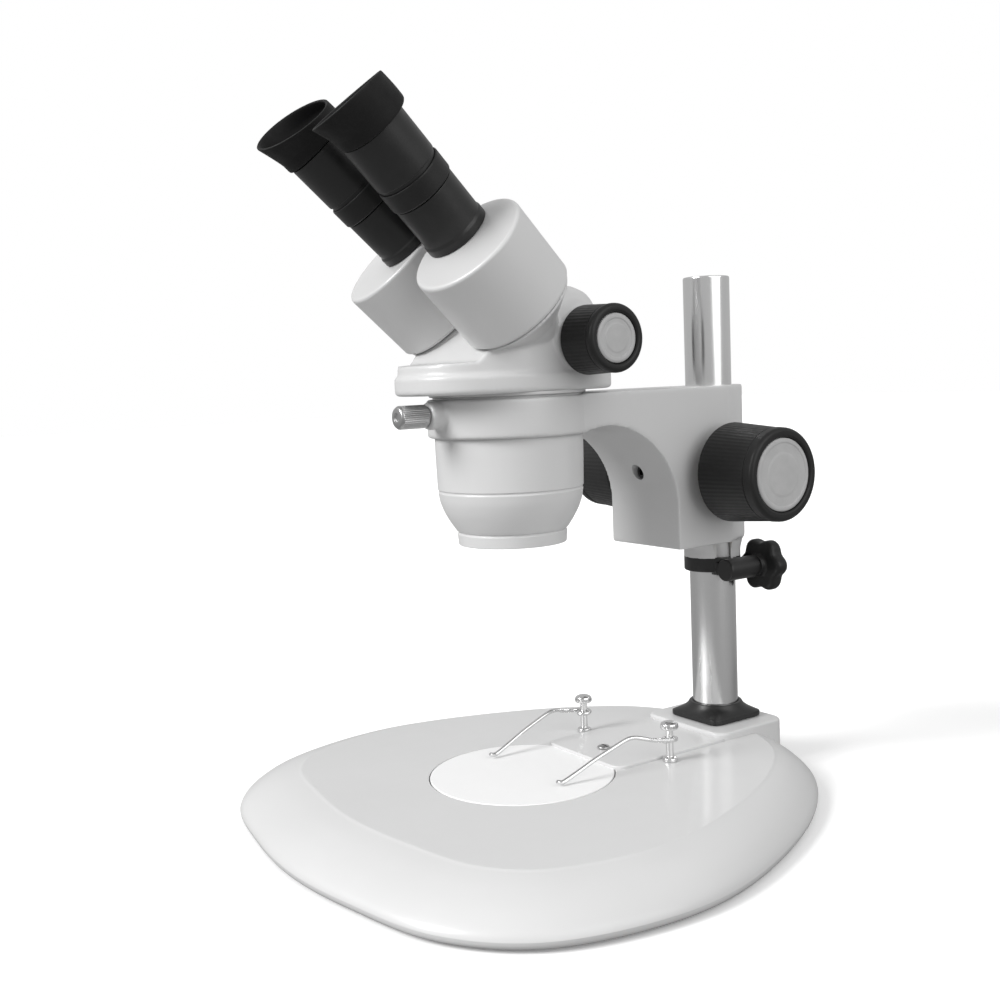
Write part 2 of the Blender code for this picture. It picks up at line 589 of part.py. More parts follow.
def slope_cutter(name, lower):
    """A prism that removes what stands above the sloping face and the ledge in front of it."""
    tilt = math.radians(DRUM_TILT)
    base = drum_frame(1)[0] / MM
    middle_y = base.y - OPTICAL_Y + lower * math.cos(tilt)
    middle_z = base.z - lower * math.sin(tilt)
    ledge = LEDGE_Z - lower
    down = (middle_z - ledge) / math.cos(tilt)
    side = [(middle_y + 60 * math.sin(tilt), middle_z + 60 * math.cos(tilt)),
            (middle_y - down * math.sin(tilt), ledge), (-70, ledge - 1.5), (-70, 320)]
    bm = bmesh.new()
    skin(bm, [[bm.verts.new(at(x, y, z)) for y, z in side] for x in (-60, 60)], False)
    return finish(name, bm, PAINT)


def make_head_casting(head):
    casting = loft("head_casting", head_level(0.0), PAINT, head)
    cut(casting, slope_cutter("slope_guide", 0.6))
    for side in (-1, 1):
        cone = lathe("cone_guide", [(0, 20), (23, 20), (17.6, 35.5), (15.4, 38.2), (14.6, 38.8), (0, 38.8)],
                     PAINT, origin=at(0, ZOOM_Y, ZOOM_Z), axis=(side, 0, 0), count=20)
        base, _, _, along = drum_frame(side)
        stub = lathe("stub_guide", [(0, -20), (9, -20), (14, -13), (DRUM_RADIUS - 1.4, -1.4),
                                    (DRUM_RADIUS - 1.8, -0.5), (0, -0.5)],
                     PAINT, origin=base, axis=along, count=24)
        join(casting, cone, stub)

    hollow = loft("hollow_guide", head_level(4.0, 4.0)[3:], PAINT)
    cut(hollow, slope_cutter("inner_slope_guide", 6.0))
    mouth = lathe("mouth_guide", [(0, 205), (24, 205), (24, 222), (0, 222)], PAINT,
                  origin=at(0, 0, 0), count=24)
    cut(casting, hollow, mouth)
    for side in (-1, 1):
        base, _, _, along = drum_frame(side)
        cut(casting,
            lathe("light_guide", [(0, -14), (12, -14), (12, 6), (0, 6)], PAINT, origin=base, axis=along,
                  count=16),
            lathe("bush_hole_guide", [(0, 22), (6.3, 22), (6.3, 45), (0, 45)], PAINT,
                  origin=at(0, ZOOM_Y, ZOOM_Z), axis=(side, 0, 0), count=20))


def lens(name, radius, low, high, parent, origin, axis=(0, 0, 1)):
    """A lens with two curved faces."""
    edge = (high - low) * 0.22
    profile = [(0, low), (radius * 0.5, low + edge * 0.3), (radius, low + edge), (radius, high - edge),
               (radius * 0.5, high - edge * 0.3), (0, high)]
    lathe(name, profile, GLASS, parent, origin=origin, axis=axis, count=16)


def make_head():
    head = body("head", at(0, 0, ARM_TOP))
    make_head_casting(head)
    nose = [(24, NOSE_BOTTOM), (26.6, NOSE_BOTTOM), (27, 145), (28, 147.5), (30.5, 151), (33, 155.5),
            (34.8, 160.5), (35.6, 165), (NOSE_RADIUS, 189), (NOSE_RADIUS, ARM_TOP + 0.4),
            (38.4, ARM_TOP + 0.4), (38.4, HEAD_BOTTOM - GAP), (30, HEAD_BOTTOM - GAP), (30, 165),
            (24, 149)]
    lathe("nosepiece", nose, PAINT, head, origin=at(0, 0, 0), closed=True, count=32)

    cell = lathe("objective_cell", [(0, 144), (23.6, 144), (23.6, 148), (0, 148)], BLACK_METAL, head,
                 origin=at(0, 0, 0), count=24)
    for name, side in (("left", -1), ("right", 1)):
        cut(cell, lathe("lens_hole_guide", [(0, 140), (9.6, 140), (9.6, 152), (0, 152)], BLACK_METAL,
                        origin=at(side * LENS_X, 0, 0), count=16))
        lens("objective_lens_" + name, 9.2, 143.6, 148.2, head, at(side * LENS_X, 0, 0))
        bush = [(2.5, 28.0), (6.0, 28.0), (6.0, 39.2), (2.5, 39.2)]
        lathe("zoom_bush_" + name, bush, BRASS, head, origin=at(0, ZOOM_Y, ZOOM_Z), axis=(side, 0, 0),
              closed=True, count=20)
    rod = [(0, 214), (1.8, 214), (1.8, 247), (0, 247)]
    lathe("zoom_guide_rod", rod, CHROME, head, origin=at(0, ROD_Y, 0), count=12)

    drive = body("zoom_drive", at(0, ZOOM_Y, ZOOM_Z))
    make_pinion_shaft("zoom_pinion_shaft", ZOOM_Y, ZOOM_Z, 2.2, 59.2, 4.2, -3, 3, drive)
    for name, side in (("left", -1), ("right", 1)):
        make_knob("zoom_knob_" + name, side, ZOOM_Y, ZOOM_Z, 40.0, 62.8, 16.7, 0.9, 11.3, 2.5, drive)

    carriage_body = body("zoom_carriage", at(0, 0, 229))
    carriage = box("zoom_carriage", (-20.5, -13, 227.5), (20.5, 11, 230.5), BLACK_METAL, carriage_body)
    rack = box("carriage_rack_guide", (-3, 8.5, 221), (3, 13.8, 244), BLACK_METAL)
    join(carriage, rack)
    cut(carriage, lathe("rod_hole_guide", [(0, 220), (2.1, 220), (2.1, 240), (0, 240)], BLACK_METAL,
                        origin=at(0, ROD_Y, 0), count=12))
    for name, side in (("left", -1), ("right", 1)):
        cut(carriage, lathe("zoom_hole_guide", [(0, 220), (8.3, 220), (8.3, 240), (0, 240)], BLACK_METAL,
                            origin=at(side * LENS_X, 0, 0), count=16))
        lens("zoom_lens_" + name, 8.0, 227, 231, carriage_body, at(side * LENS_X, 0, 0))


def make_eyecup(name, parent, origin, along, out, up):
    """A rubber cup with a slanted rim, highest at its outer side against stray light."""
    count = 20

    def ring(radius, height, rim=0.0):
        points = []
        for i in range(count):
            a = 2 * math.pi * i / count
            raised = rim * (CUP_MIDDLE + CUP_SWING * math.cos(a + CUP_PHASE))
            points.append(origin + (out * math.cos(a) + up * math.sin(a)) * radius * MM
                          + along * (height + raised) * MM)
        return points

    rings = [ring(13.5, 62.0), ring(18.3, 62.0), ring(18.9, 62.8), ring(18.9, 66.5),
             ring(18.3, -0.4, 1), ring(16.8, -0.4, 1), ring(15.6, 66.2), ring(13.5, 65.4)]
    bm = bmesh.new()
    skin(bm, [[bm.verts.new(p) for p in points] for points in rings], True)
    finish("eyecup_" + name, bm, RUBBER, parent)


def make_side(name, side):
    """One prism housing with its eyepiece, from the head's sloping face up to the eye."""
    base, out, up, along = drum_frame(side)
    drum_body = body("drum_" + name, base)
    inner = DRUM_RADIUS - 3.4
    cup = [(0, DRUM_LENGTH - 3.4), (inner, DRUM_LENGTH - 3.4), (inner, 0), (DRUM_RADIUS - 0.5, 0),
           (DRUM_RADIUS, 0.5), (DRUM_RADIUS, DRUM_LENGTH - 1.4), (DRUM_RADIUS - 1.2, DRUM_LENGTH),
           (0, DRUM_LENGTH)]
    housing = lathe("prism_housing_" + name, cup, PAINT, drum_body, origin=base, axis=along, count=24)
    eye = base + (out * EYE_OUT + up * EYE_UP) * MM + along * DRUM_LENGTH * MM
    cut(housing, lathe("tube_hole_guide", [(0, -20), (13, -20), (13, 20), (0, 20)], PAINT, origin=eye,
                       axis=along, count=20))

    bm = bmesh.new()
    bmesh.ops.create_cube(bm, size=1.0)
    bmesh.ops.scale(bm, vec=(24 * MM, 26 * MM, 22 * MM), verts=bm.verts)
    prism = finish("prism_" + name, bm, GLASS, drum_body)
    prism.rotation_euler = Matrix((out * side, up, along)).transposed().to_euler()
    prism.location = base + along * 17 * MM

    tube = [(11.6, -6), (12.7, -6), (12.7, GAP), (15.8, GAP), (15.8, 4.4), (TUBE_RADIUS, 5.2),
            (TUBE_RADIUS, 26), (11.6, 26)]
    lathe("eyepiece_tube_" + name, tube, BLACK_METAL, drum_body, origin=eye, axis=along, closed=True,
          count=20)

    ring_body = body("diopter_" + name, eye)
    ring = [(11.6, 26.4), (15.5, 26.4), (15.9, 27), (15.9, 35.8), (15.5, 36.4), (11.6, 36.4)]
    lathe("diopter_ring_" + name, ring, BLACK, ring_body, origin=eye, axis=along, closed=True,
          count=20)

    eye_body = body("eyepiece_" + name, eye)
    barrel = [(9.4, 8), (11.2, 8), (11.2, 38.2), (EYEPIECE_RADIUS, 38.2), (EYEPIECE_RADIUS, 61.6),
              (13.1, 61.6), (13.1, 64.6), (10.9, 64.6), (10.9, 58), (9.4, 58)]
    lathe("eyepiece_barrel_" + name, barrel, BLACK, eye_body, origin=eye, axis=along, closed=True,
          count=20)
    lens("eye_lens_" + name, 10.4, 58.3, 62.6, eye_body, eye, along)
    make_eyecup(name, eye_body, eye, along, out, up)


make_base()
make_stand_fittings()
make_clip("left", -1)
make_clip("right", 1)
make_collar()
make_sleeve()
make_arm()
make_focus_drive()
make_head()
make_side("left", -1)
make_side("right", 1)
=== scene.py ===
"""The finished look of a stereo zoom microscope on a pole stand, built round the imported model.

Lengths are in millimetres in a local frame, and become metres when a piece is made. Places come
from the frame: joints give the axes, and the CAD nodes give each turned piece its ends and radius.
"""
import json
import math

import bmesh
import bpy
from mathutils import Matrix, Vector


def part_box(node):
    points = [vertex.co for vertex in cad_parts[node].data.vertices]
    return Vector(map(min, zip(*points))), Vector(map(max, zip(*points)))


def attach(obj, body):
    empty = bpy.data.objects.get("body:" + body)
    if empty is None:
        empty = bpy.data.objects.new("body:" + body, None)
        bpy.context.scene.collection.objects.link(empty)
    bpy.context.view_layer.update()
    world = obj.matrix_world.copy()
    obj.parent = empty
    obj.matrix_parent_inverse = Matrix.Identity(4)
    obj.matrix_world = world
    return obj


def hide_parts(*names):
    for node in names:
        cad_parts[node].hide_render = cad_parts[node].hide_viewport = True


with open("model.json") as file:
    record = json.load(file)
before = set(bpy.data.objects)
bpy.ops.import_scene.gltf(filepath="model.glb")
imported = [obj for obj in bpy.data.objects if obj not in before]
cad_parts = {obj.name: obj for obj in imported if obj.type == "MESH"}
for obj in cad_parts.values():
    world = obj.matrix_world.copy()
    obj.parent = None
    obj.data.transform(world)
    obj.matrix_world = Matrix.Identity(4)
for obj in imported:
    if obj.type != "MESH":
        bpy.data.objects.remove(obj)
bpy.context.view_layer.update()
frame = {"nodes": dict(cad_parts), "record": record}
MM = 0.001
JOINTS = {j["name"]: j for j in frame["record"]["behaviour"]["joints"]}
SIDES = (("left", -1), ("right", 1))

# Driving dimensions that the frame doesn't give, y from the optical axis.
# Half of the base's outline runs from the front round the right side to the rear.
BASE_HALF = [(0, -129), (46, -124.3), (95.5, -111.5), (129, -79.5), (142.5, -27), (136.5, 24),
             (109, 88), (73, 134), (33, 155), (0, 160)]
SKIRT_FRONT, SKIRT_REAR = 33.0, 20.0      # how far the sloping skirt runs in
SLIDE_GAP = 0.25                          # between a bore and what slides in it
COLLAR_HEIGHT = 8.2
ARM_HALF, ARM_FRONT, ARM_BOSS = 27.0, 86.0, 18.0
RING_RADIUS, RING_BOTTOM = 39.4, 192.0
LEDGE_RISE = 14.9                         # the head's ledge above its underside
CUP_SWING, CUP_PHASE = 4.3, math.radians(30)    # the slant of an eyecup's rim, and where it is highest

# The viewpoint, in metres and degrees.
CAMERA_PLACE = (0.49112, -0.35926, 0.22201)
CAMERA_AZIMUTH, CAMERA_ELEVATION, CAMERA_ROLL = 55.54, 5.89, -2.33
CAMERA_LENS = 44.14


# Frames and measures ----------------------------------------------------------

def stand(origin, axis=(0, 0, 1), side=(1, 0, 0)):
    """A frame with its +Z on the axis and its +X as near to side as can be."""
    z = Vector(axis).normalized()
    x = Vector(side)
    x = (x - z * x.dot(z)).normalized()
    matrix = Matrix((x, z.cross(x), z)).transposed().to_4x4()
    matrix.translation = Vector(origin)
    return matrix


def middle(node):
    """The middle of a node's box."""
    low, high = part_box(node)
    return (Vector(low) + Vector(high)) / 2


def upright(node):
    """A frame on a standing node's own axis, with its origin on the bench."""
    centre = middle(node)
    return stand((centre.x, centre.y, 0))


def within(outer, place):
    """Takes a mesh in millimetres from one frame to millimetres in an outer frame."""
    return Matrix.Scale(1 / MM, 4) @ outer.inverted() @ place @ Matrix.Scale(MM, 4)


def reach(node, matrix):
    """Lowest and highest point along a frame's +Z, and the greatest radius, in millimetres."""
    inverse = matrix.inverted()
    points = [inverse @ v.co / MM for v in frame["nodes"][node].data.vertices]
    return (min(p.z for p in points), max(p.z for p in points),
            max(math.hypot(p.x, p.y) for p in points))


PLATE_CENTRE = middle("stage_plate")
HEAD_AXIS = stand((PLATE_CENTRE.x, PLATE_CENTRE.y, 0))      # y counts from the optical axis
POLE_CENTRE = middle("pole")
POLE_AXIS = stand((POLE_CENTRE.x, POLE_CENTRE.y, 0))
POLE_Y = (POLE_CENTRE.y - PLATE_CENTRE.y) / MM


# Materials --------------------------------------------------------------------

class Nodes:
    """A small helper that adds and links shader nodes."""

    def __init__(self, name):
        self.material = bpy.data.materials.new(name)
        self.material.use_nodes = True
        self.tree = self.material.node_tree
        self.shader = self.tree.nodes["Principled BSDF"]

    def add(self, kind, inputs=None, **settings):
        node = self.tree.nodes.new("ShaderNode" + kind)
        for key, value in settings.items():
            setattr(node, key, value)
        for key, value in (inputs or {}).items():
            if hasattr(value, "is_output"):
                self.tree.links.new(value, node.inputs[key])
            else:
                node.inputs[key].default_value = value
        return node

    def set(self, **values):
        for key, value in values.items():
            socket = self.shader.inputs[key.replace("_", " ")]
            if hasattr(value, "is_output"):
                self.tree.links.new(value, socket)
            else:
                socket.default_value = value

    def noise(self, scale, detail=3.0, stretch=(1, 1, 1)):
        where = self.add("TexCoord").outputs["Object"]
        if stretch != (1, 1, 1):
            where = self.add("Mapping", {"Vector": where, "Scale": stretch}).outputs["Vector"]
        return self.add("TexNoise", {"Vector": where, "Scale": scale, "Detail": detail}).outputs["Fac"]

    def between(self, factor, low, high):
        """The factor spread from low to high: a number, or a colour."""
        if isinstance(low, tuple):
            node = self.add("ValToRGB", {"Fac": factor})
            ramp = node.color_ramp
            ramp.elements[0].position, ramp.elements[1].position = 0.3, 0.7
            ramp.elements[0].color, ramp.elements[1].color = (*low, 1), (*high, 1)
            return node.outputs["Color"]
        return self.add("MapRange", {"Value": factor, "From Min": 0.3, "From Max": 0.7,
                                     "To Min": low, "To Max": high}).outputs["Result"]


def surface(name, grey, roughness, metallic=0.0, vary=0.03, patch=22.0, grain=1400.0, bump=0.08,
            depth=0.00015, stretch=(1, 1, 1), coat=0.0, tint=(1, 1, 1), rings=0.0, specular=0.5):
    """A moulded, painted or machined surface: patches of tone, uneven gloss and a fine grain."""
    nodes = Nodes(name)
    low = tuple(grey * (1 - vary) * t for t in tint)
    high = tuple(min(1.0, grey * (1 + vary)) * t for t in tint)
    tone = nodes.between(nodes.noise(patch, 4.0, stretch), low, high)
    gloss = nodes.between(nodes.noise(patch * 3.1, 3.0, stretch), roughness * 0.88,
                          min(1.0, roughness * 1.14))
    height = nodes.noise(grain, 2.0, stretch)
    if rings:
        where = nodes.add("TexCoord").outputs["Object"]
        wave = nodes.add("TexWave", {"Vector": where, "Scale": rings, "Distortion": 0.4},
                         wave_type="RINGS", rings_direction="Z").outputs["Fac"]
        height = nodes.add("Math", {0: wave, 1: height}, operation="ADD").outputs["Value"]
    normal = nodes.add("Bump", {"Height": height, "Strength": bump, "Distance": depth})
    nodes.set(Base_Color=tone, Roughness=gloss, Metallic=metallic, Normal=normal.outputs["Normal"],
              Coat_Weight=coat, Coat_Roughness=0.12, Specular_IOR_Level=specular)
    nodes.material.diffuse_color = (grey, grey, grey, 1)
    return nodes.material


def glass(name, tint, roughness=0.02):
    """Coated optical glass with a trace of dust."""
    nodes = Nodes(name)
    dust = nodes.between(nodes.noise(700.0, 5.0), roughness, roughness + 0.05)
    colour = nodes.between(nodes.noise(40.0), tuple(0.96 * t for t in tint), tint)
    nodes.set(Base_Color=colour, Roughness=dust, Transmission_Weight=0.9, IOR=1.52,
              Coat_Weight=0.6, Coat_Roughness=0.03, Coat_Tint=(0.62, 0.52, 0.95, 1.0))
    return nodes.material


PAINT = surface("grey_enamel", 0.58, 0.36, vary=0.012, bump=0.07, coat=0.25)
PAINT_BASE = surface("base_enamel", 0.57, 0.38, vary=0.014, patch=14.0, bump=0.08, coat=0.22)
PAINT_ARM = surface("arm_enamel", 0.56, 0.40, vary=0.012, bump=0.07, coat=0.2)
WHITE = surface("white_plate", 0.79, 0.34, vary=0.006, patch=50.0, bump=0.02)
CHROME = surface("polished_chrome", 0.74, 0.19, 1.0, vary=0.01, grain=900.0, bump=0.004,
                 stretch=(1, 1, 0.03))
STEEL = surface("turned_steel", 0.46, 0.32, 1.0, vary=0.05, patch=60.0, bump=0.10)
BRASS = surface("brass", 0.75, 0.34, 1.0, vary=0.06, patch=80.0, tint=(0.95, 0.74, 0.38))
PLASTIC = surface("black_plastic", 0.011, 0.42, vary=0.14, patch=90.0, grain=2200.0, bump=0.16,
                  specular=0.3)
ANODISED = surface("black_anodised", 0.010, 0.38, 0.1, vary=0.12, patch=60.0, grain=2600.0, bump=0.12,
                   specular=0.5)
RUBBER = surface("black_rubber", 0.008, 0.6, vary=0.18, patch=70.0, grain=1700.0, bump=0.26,
                 specular=0.2)
INSERT = surface("insert_face", 0.42, 0.42, vary=0.05, patch=160.0, grain=1500.0, bump=0.10,
                 rings=330.0)
SHEET = surface("sheet_steel", 0.22, 0.45, 0.8, vary=0.08, patch=30.0)
LENS = glass("coated_glass", (0.90, 0.93, 0.95))


# Making pieces ----------------------------------------------------------------

def piece(name, mesh, material, body, nodes=(), matrix=Matrix.Identity(4), sharp=38.0):
    """Turns a mesh in millimetres into a finished piece in a frame, riding on a CAD body."""
    mesh.name = name
    mesh.transform(Matrix.Scale(MM, 4))
    mesh.shade_smooth()
    mesh.set_sharp_from_angle(angle=math.radians(sharp))
    mesh.materials.clear()
    mesh.materials.append(material)
    obj = bpy.data.objects.new(name, mesh)
    bpy.context.scene.collection.objects.link(obj)
    obj.matrix_world = matrix
    modifier = obj.modifiers.new("weighted_normals", "WEIGHTED_NORMAL")
    modifier.keep_sharp = True
    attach(obj, body)
    if nodes:
        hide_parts(*nodes)
    return obj


def skin(rings, closed=False):
    """A mesh through rings of points, all of one length; a ring of one point is a tip."""
    bm = bmesh.new()
    made = [[bm.verts.new(p) for p in ring] for ring in rings]
    pairs = list(zip(made, made[1:])) + ([(made[-1], made[0])] if closed else [])
    for low, high in pairs:
        count = max(len(low), len(high))
        for i in range(count):
            j = (i + 1) % count
            corners = [low[i % len(low)], high[i % len(high)], high[j % len(high)], low[j % len(low)]]
            bm.faces.new(list(dict.fromkeys(corners)))
    if not closed:
        for ring in (made[0], made[-1]):
            if len(ring) > 2:
                bm.faces.new(ring)
    bmesh.ops.recalc_face_normals(bm, faces=bm.faces)
    mesh = bpy.data.meshes.new("skin")
    bm.to_mesh(mesh)
    bm.free()
    return mesh


def soften(points, closed=False, steps=4):
    """Rounds a profile's corners; each point is (radius, height) and perhaps its own corner."""
    out = []
    count = len(points)
    for i, point in enumerate(points):
        here = Vector(point[:2])
        corner = point[2] if len(point) > 2 else 0.4
        if corner == 0 or (not closed and i in (0, count - 1)):
            out.append(tuple(here))
            continue
        before = Vector(points[i - 1][:2]) - here
        after = Vector(points[(i + 1) % count][:2]) - here
        start = here + before.normalized() * min(corner, 0.45 * before.length)
        stop = here + after.normalized() * min(corner, 0.45 * after.length)
        for k in range(steps + 1):
            t = k / steps
            out.append(tuple(start * (1 - t) ** 2 + here * 2 * t * (1 - t) + stop * t * t))
    return out


def turn(profile, closed=False, count=96, shape=None):
    """A mesh turned about +Z from a profile; shape(angle, radius, height) may change the radius."""
    rings = []
    for radius, height in soften(profile, closed):
        if radius < 1e-6:
            rings.append([(0, 0, height)])
            continue
        ring = []
        for i in range(count):
            a = 2 * math.pi * i / count
            r = shape(a, radius, height) if shape else radius
            ring.append((r * math.cos(a), r * math.sin(a), height))
        rings.append(ring)
    return skin(rings, closed)


def ribs(number, depth, low, high, least=0.0):
    """A shape for turn(): straight ribs between two heights, outside a least radius."""
    def shape(a, radius, height):
        if not low <= height <= high or radius < least:
            return radius
        fade = min(1.0, (height - low) / 0.8, (high - height) / 0.8)
        return radius - depth * fade * (0.5 - 0.5 * math.cos(number * a)) ** 0.7
    return shape


def boolean(mesh, others, operation, solver="MANIFOLD"):
    """The mesh after Booleans with other meshes, all in one frame."""
    objects = [bpy.data.objects.new("boolean_%d" % i, m) for i, m in enumerate([mesh, *others])]
    for obj in objects:
        bpy.context.scene.collection.objects.link(obj)
    for other in objects[1:]:
        modifier = objects[0].modifiers.new("cut", "BOOLEAN")
        modifier.operation = operation
        modifier.solver = solver
        modifier.object = other
    result = bpy.data.meshes.new_from_object(
        objects[0].evaluated_get(bpy.context.evaluated_depsgraph_get()))
    for obj in objects:
        bpy.data.objects.remove(obj, do_unlink=True)
    return result


def cast(meshes, voxel=0.9, rounds=4):
    """Melts overlapping solids into one casting whose edges and joins are softly rounded."""
    bm = bmesh.new()
    for mesh in meshes:
        bm.from_mesh(mesh)
    joined = bpy.data.meshes.new("casting")
    bm.to_mesh(joined)
    bm.free()
    obj = bpy.data.objects.new("casting", joined)
    bpy.context.scene.collection.objects.link(obj)
    remesh = obj.modifiers.new("melt", "REMESH")
    remesh.mode = "VOXEL"
    remesh.voxel_size = voxel
    smooth = obj.modifiers.new("soften", "SMOOTH")
    smooth.iterations = rounds
    result = bpy.data.meshes.new_from_object(
        obj.evaluated_get(bpy.context.evaluated_depsgraph_get()))
    bpy.data.objects.remove(obj, do_unlink=True)
    return result


def moved(mesh, matrix):
    mesh.transform(matrix)
    return mesh


def catmull(points, steps, closed=True):
    """A smooth curve through points of any dimension."""
    count = len(points)
    out = []
    for i in range(count if closed else count - 1):
        if closed:
            p0, p1, p2, p3 = (Vector(points[(i + k - 1) % count]) for k in range(4))
        else:
            p0, p1, p2, p3 = (Vector(points[min(max(i + k - 1, 0), count - 1)]) for k in range(4))
        for s in range(steps):
            t = s / steps
            out.append(0.5 * (2 * p1 + (p2 - p0) * t + (2 * p0 - 5 * p1 + 4 * p2 - p3) * t * t
                              + (3 * p1 - p0 - 3 * p2 + p3) * t ** 3))
    if not closed:
        out.append(Vector(points[-1]))
    return out


def rounded_rectangle(x_half, y_low, y_high, radius, corner=10):
    centres = [(x_half - radius, y_low + radius, -90), (x_half - radius, y_high - radius, 0),
               (radius - x_half, y_high - radius, 90), (radius - x_half, y_low + radius, 180)]
    points = []
    for cx, cy, start in centres:
        for k in range(corner + 1):
            a = math.radians(start + 90 * k / corner)
            points.append((cx + radius * math.cos(a), cy + radius * math.sin(a)))
    return points


def level(points, z):
    return [(p[0], p[1], z) for p in points]


# Base -------------------------------------------------------------------------

def base_outline(inset=0.0, share=0.0, steps=12):
    """The base's outline, moved in by a length and by a share of the skirt's width."""
    mirrored = [(-x, y) for x, y in reversed(BASE_HALF[1:-1])]
    points = catmull(BASE_HALF + mirrored, steps)
    front, rear = BASE_HALF[0][1], BASE_HALF[-1][1]
    moved_in = []
    for i, p in enumerate(points):
        along = (points[(i + 1) % len(points)] - points[i - 1]).normalized()
        skirt = SKIRT_FRONT + (SKIRT_REAR - SKIRT_FRONT) * (p.y - front) / (rear - front)
        distance = inset + share * skirt
        moved_in.append((p.x - along.y * distance, p.y + along.x * distance))
    return moved_in


def circle_like(points, radius):
    """A circle about the optical axis whose points lie in the directions of the given ones."""
    return [(radius * p[0] / math.hypot(*p), radius * p[1] / math.hypot(*p)) for p in points]


def make_base():
    low, high = (v.z / MM for v in map(Vector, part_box("base_casting")))
    plate = reach("stage_plate", HEAD_AXIS)
    top = plate[1] - 0.1
    rings = [level(base_outline(9.0), low + 9), level(base_outline(7.0), low)]
    rings += [level(base_outline(inset), low + z)
              for inset, z in ((3.4, 0.0), (2.2, 0.25), (1.2, 0.9), (0.5, 1.9), (0.12, 2.9), (0.0, 4.0))]
    skirt = [(0.0, 5.6), (0.035, 8.0), (0.14, 11.0), (0.34, 14.9), (0.62, 18.6), (0.82, 20.4),
             (0.93, 21.2), (0.975, top - 0.18), (1.0, top - 0.03), (1.03, top)]
    rings += [level(base_outline(0.0, p[0]), p[1]) for p in catmull(skirt, 3, closed=False)]
    rim = base_outline(0.0, 1.4)
    rings.append(level(rim, top))
    for radius, z in ((plate[2] + 1.1, top), (plate[2] + 0.7, top - 0.12), (plate[2] + 0.5, top - 0.5),
                      (plate[2] + 0.5, plate[0] - 0.3), (plate[2] - 12, plate[0] - 0.3)):
        rings.append(level(circle_like(rim, radius), z))
    piece("base_shell", skin(rings), PAINT_BASE, "root", ["base_casting"], HEAD_AXIS)

    def pad(name, half, front, rear, radius, bottom, height, edge):
        steps = [(0.0, bottom), (0.0, height - edge)]
        steps += [(edge * (1 - math.cos(a)), height - edge + edge * math.sin(a))
                  for a in (math.pi / 2 * k / 5 for k in range(1, 6))]
        mesh = skin([level(rounded_rectangle(half - i, front + i, rear - i, radius), z)
                     for i, z in steps])
        piece(name, mesh, PAINT_BASE, "root", (), HEAD_AXIS)

    flange_half = (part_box("pole_flange")[1][0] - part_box("pole_flange")[0][0]) / 2 / MM
    half = flange_half + 11.5
    rear = POLE_Y + 23.5
    pad("pole_block", half, POLE_Y - 26.5, rear, 7.0, 8.0, high, 1.3)
    pad("clip_step", half, 38.0, POLE_Y - 20, 6.0, 16.0, 23.4, 0.7)

    piece("under_sheet", skin([level(base_outline(i), z) for i, z in
                                       ((8.1, 2.6), (7.6, 2.8), (7.6, 3.6), (8.1, 3.8))]),
                  SHEET, "root", ["base_underplate"], HEAD_AXIS)
    for corner in ("front_left", "front_right", "rear_left", "rear_right"):
        place = upright("foot_" + corner)
        bottom, upper, radius = reach("foot_" + corner, place)
        tread = [(0, bottom + 0.5), (radius * 0.5, bottom + 0.5, 0.2), (radius * 0.55, bottom, 0.2),
                 (radius - 1.6, bottom, 0.4), (radius - 0.4, upper - 0.7, 0.5), (radius, upper, 0.1),
                 (0, upper)]
        piece("rubber_foot_" + corner, turn(tread, count=64), RUBBER, "root",
              ["foot_" + corner], place)


def make_plate():
    low, high, radius = reach("stage_plate", HEAD_AXIS)
    disc = [(0, low), (radius, low, 0.3), (radius, high, 0.6), (0, high)]
    piece("white_stage_plate", turn(disc, count=160), WHITE, "root", ["stage_plate"],
          HEAD_AXIS)
    place = upright("plate_lock_screw")
    low, high, radius = reach("plate_lock_screw", place)
    screw = turn([(0, low), (radius - 1.1, low), (radius - 1.1, high - 1.6, 0),
                  (radius, high - 1.6, 0.2), (radius, high - 0.7, 0.4),
                  (radius * 0.55, high - 0.05, 0.6), (0, high)], count=48)
    slot_cut = skin([level(rounded_rectangle(radius + 1, -0.45, 0.45, 0.1, 2), z)
                     for z in (high - 0.7, high + 1)])
    piece("slotted_plate_screw", boolean(screw, [slot_cut], "DIFFERENCE"), STEEL, "root",
          ["plate_lock_screw"], place)


def make_pole():
    low, high, radius = reach("pole", POLE_AXIS)
    seat = reach("pole_flange", POLE_AXIS)[0]
    rod = [(0, seat), (radius, seat, 0), (radius, high, 1.0), (radius - 3, high, 0.1),
           (3.2, high, 0.1), (1.6, high - 1.5, 0.1), (0, high - 1.5)]
    piece("chrome_pole", turn(rod, count=160), CHROME, "root", ["pole"], POLE_AXIS)

    low, high, _ = reach("pole_flange", POLE_AXIS)
    half = (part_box("pole_flange")[1][0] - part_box("pole_flange")[0][0]) / 2 / MM

    def ring(size, power, z):
        """A ring between a circle, at power 2, and a square, at a high power."""
        points = []
        for k in range(128):
            a = 2 * math.pi * k / 128
            c, s = abs(math.cos(a)), abs(math.sin(a))
            r = size / (c ** power + s ** power) ** (1 / power)
            points.append((r * math.cos(a), r * math.sin(a), z))
        return points

    square = ((0.3, 9, 0), (0, 9, 0.3), (0, 9, 2.2), (0.15, 9, 2.7), (0.6, 8, 3.0), (1.2, 6, 3.5),
              (2.0, 3.6, 4.4), (2.8, 2.5, 5.6), (3.4, 2.1, 6.9))
    rings = [ring(radius + 0.3, 2, low)]
    rings += [ring(half - inset, power, low + rise) for inset, power, rise in square]
    rings += [ring(half - inset, 2, high - drop) for inset, drop in ((3.8, 0.5), (4.1, 0.12), (4.5, 0))]
    rings.append(ring(radius + 0.3, 2, high))
    piece("pole_flange_ring", skin(rings, closed=True), ANODISED, "root", ["pole_flange"],
          POLE_AXIS)


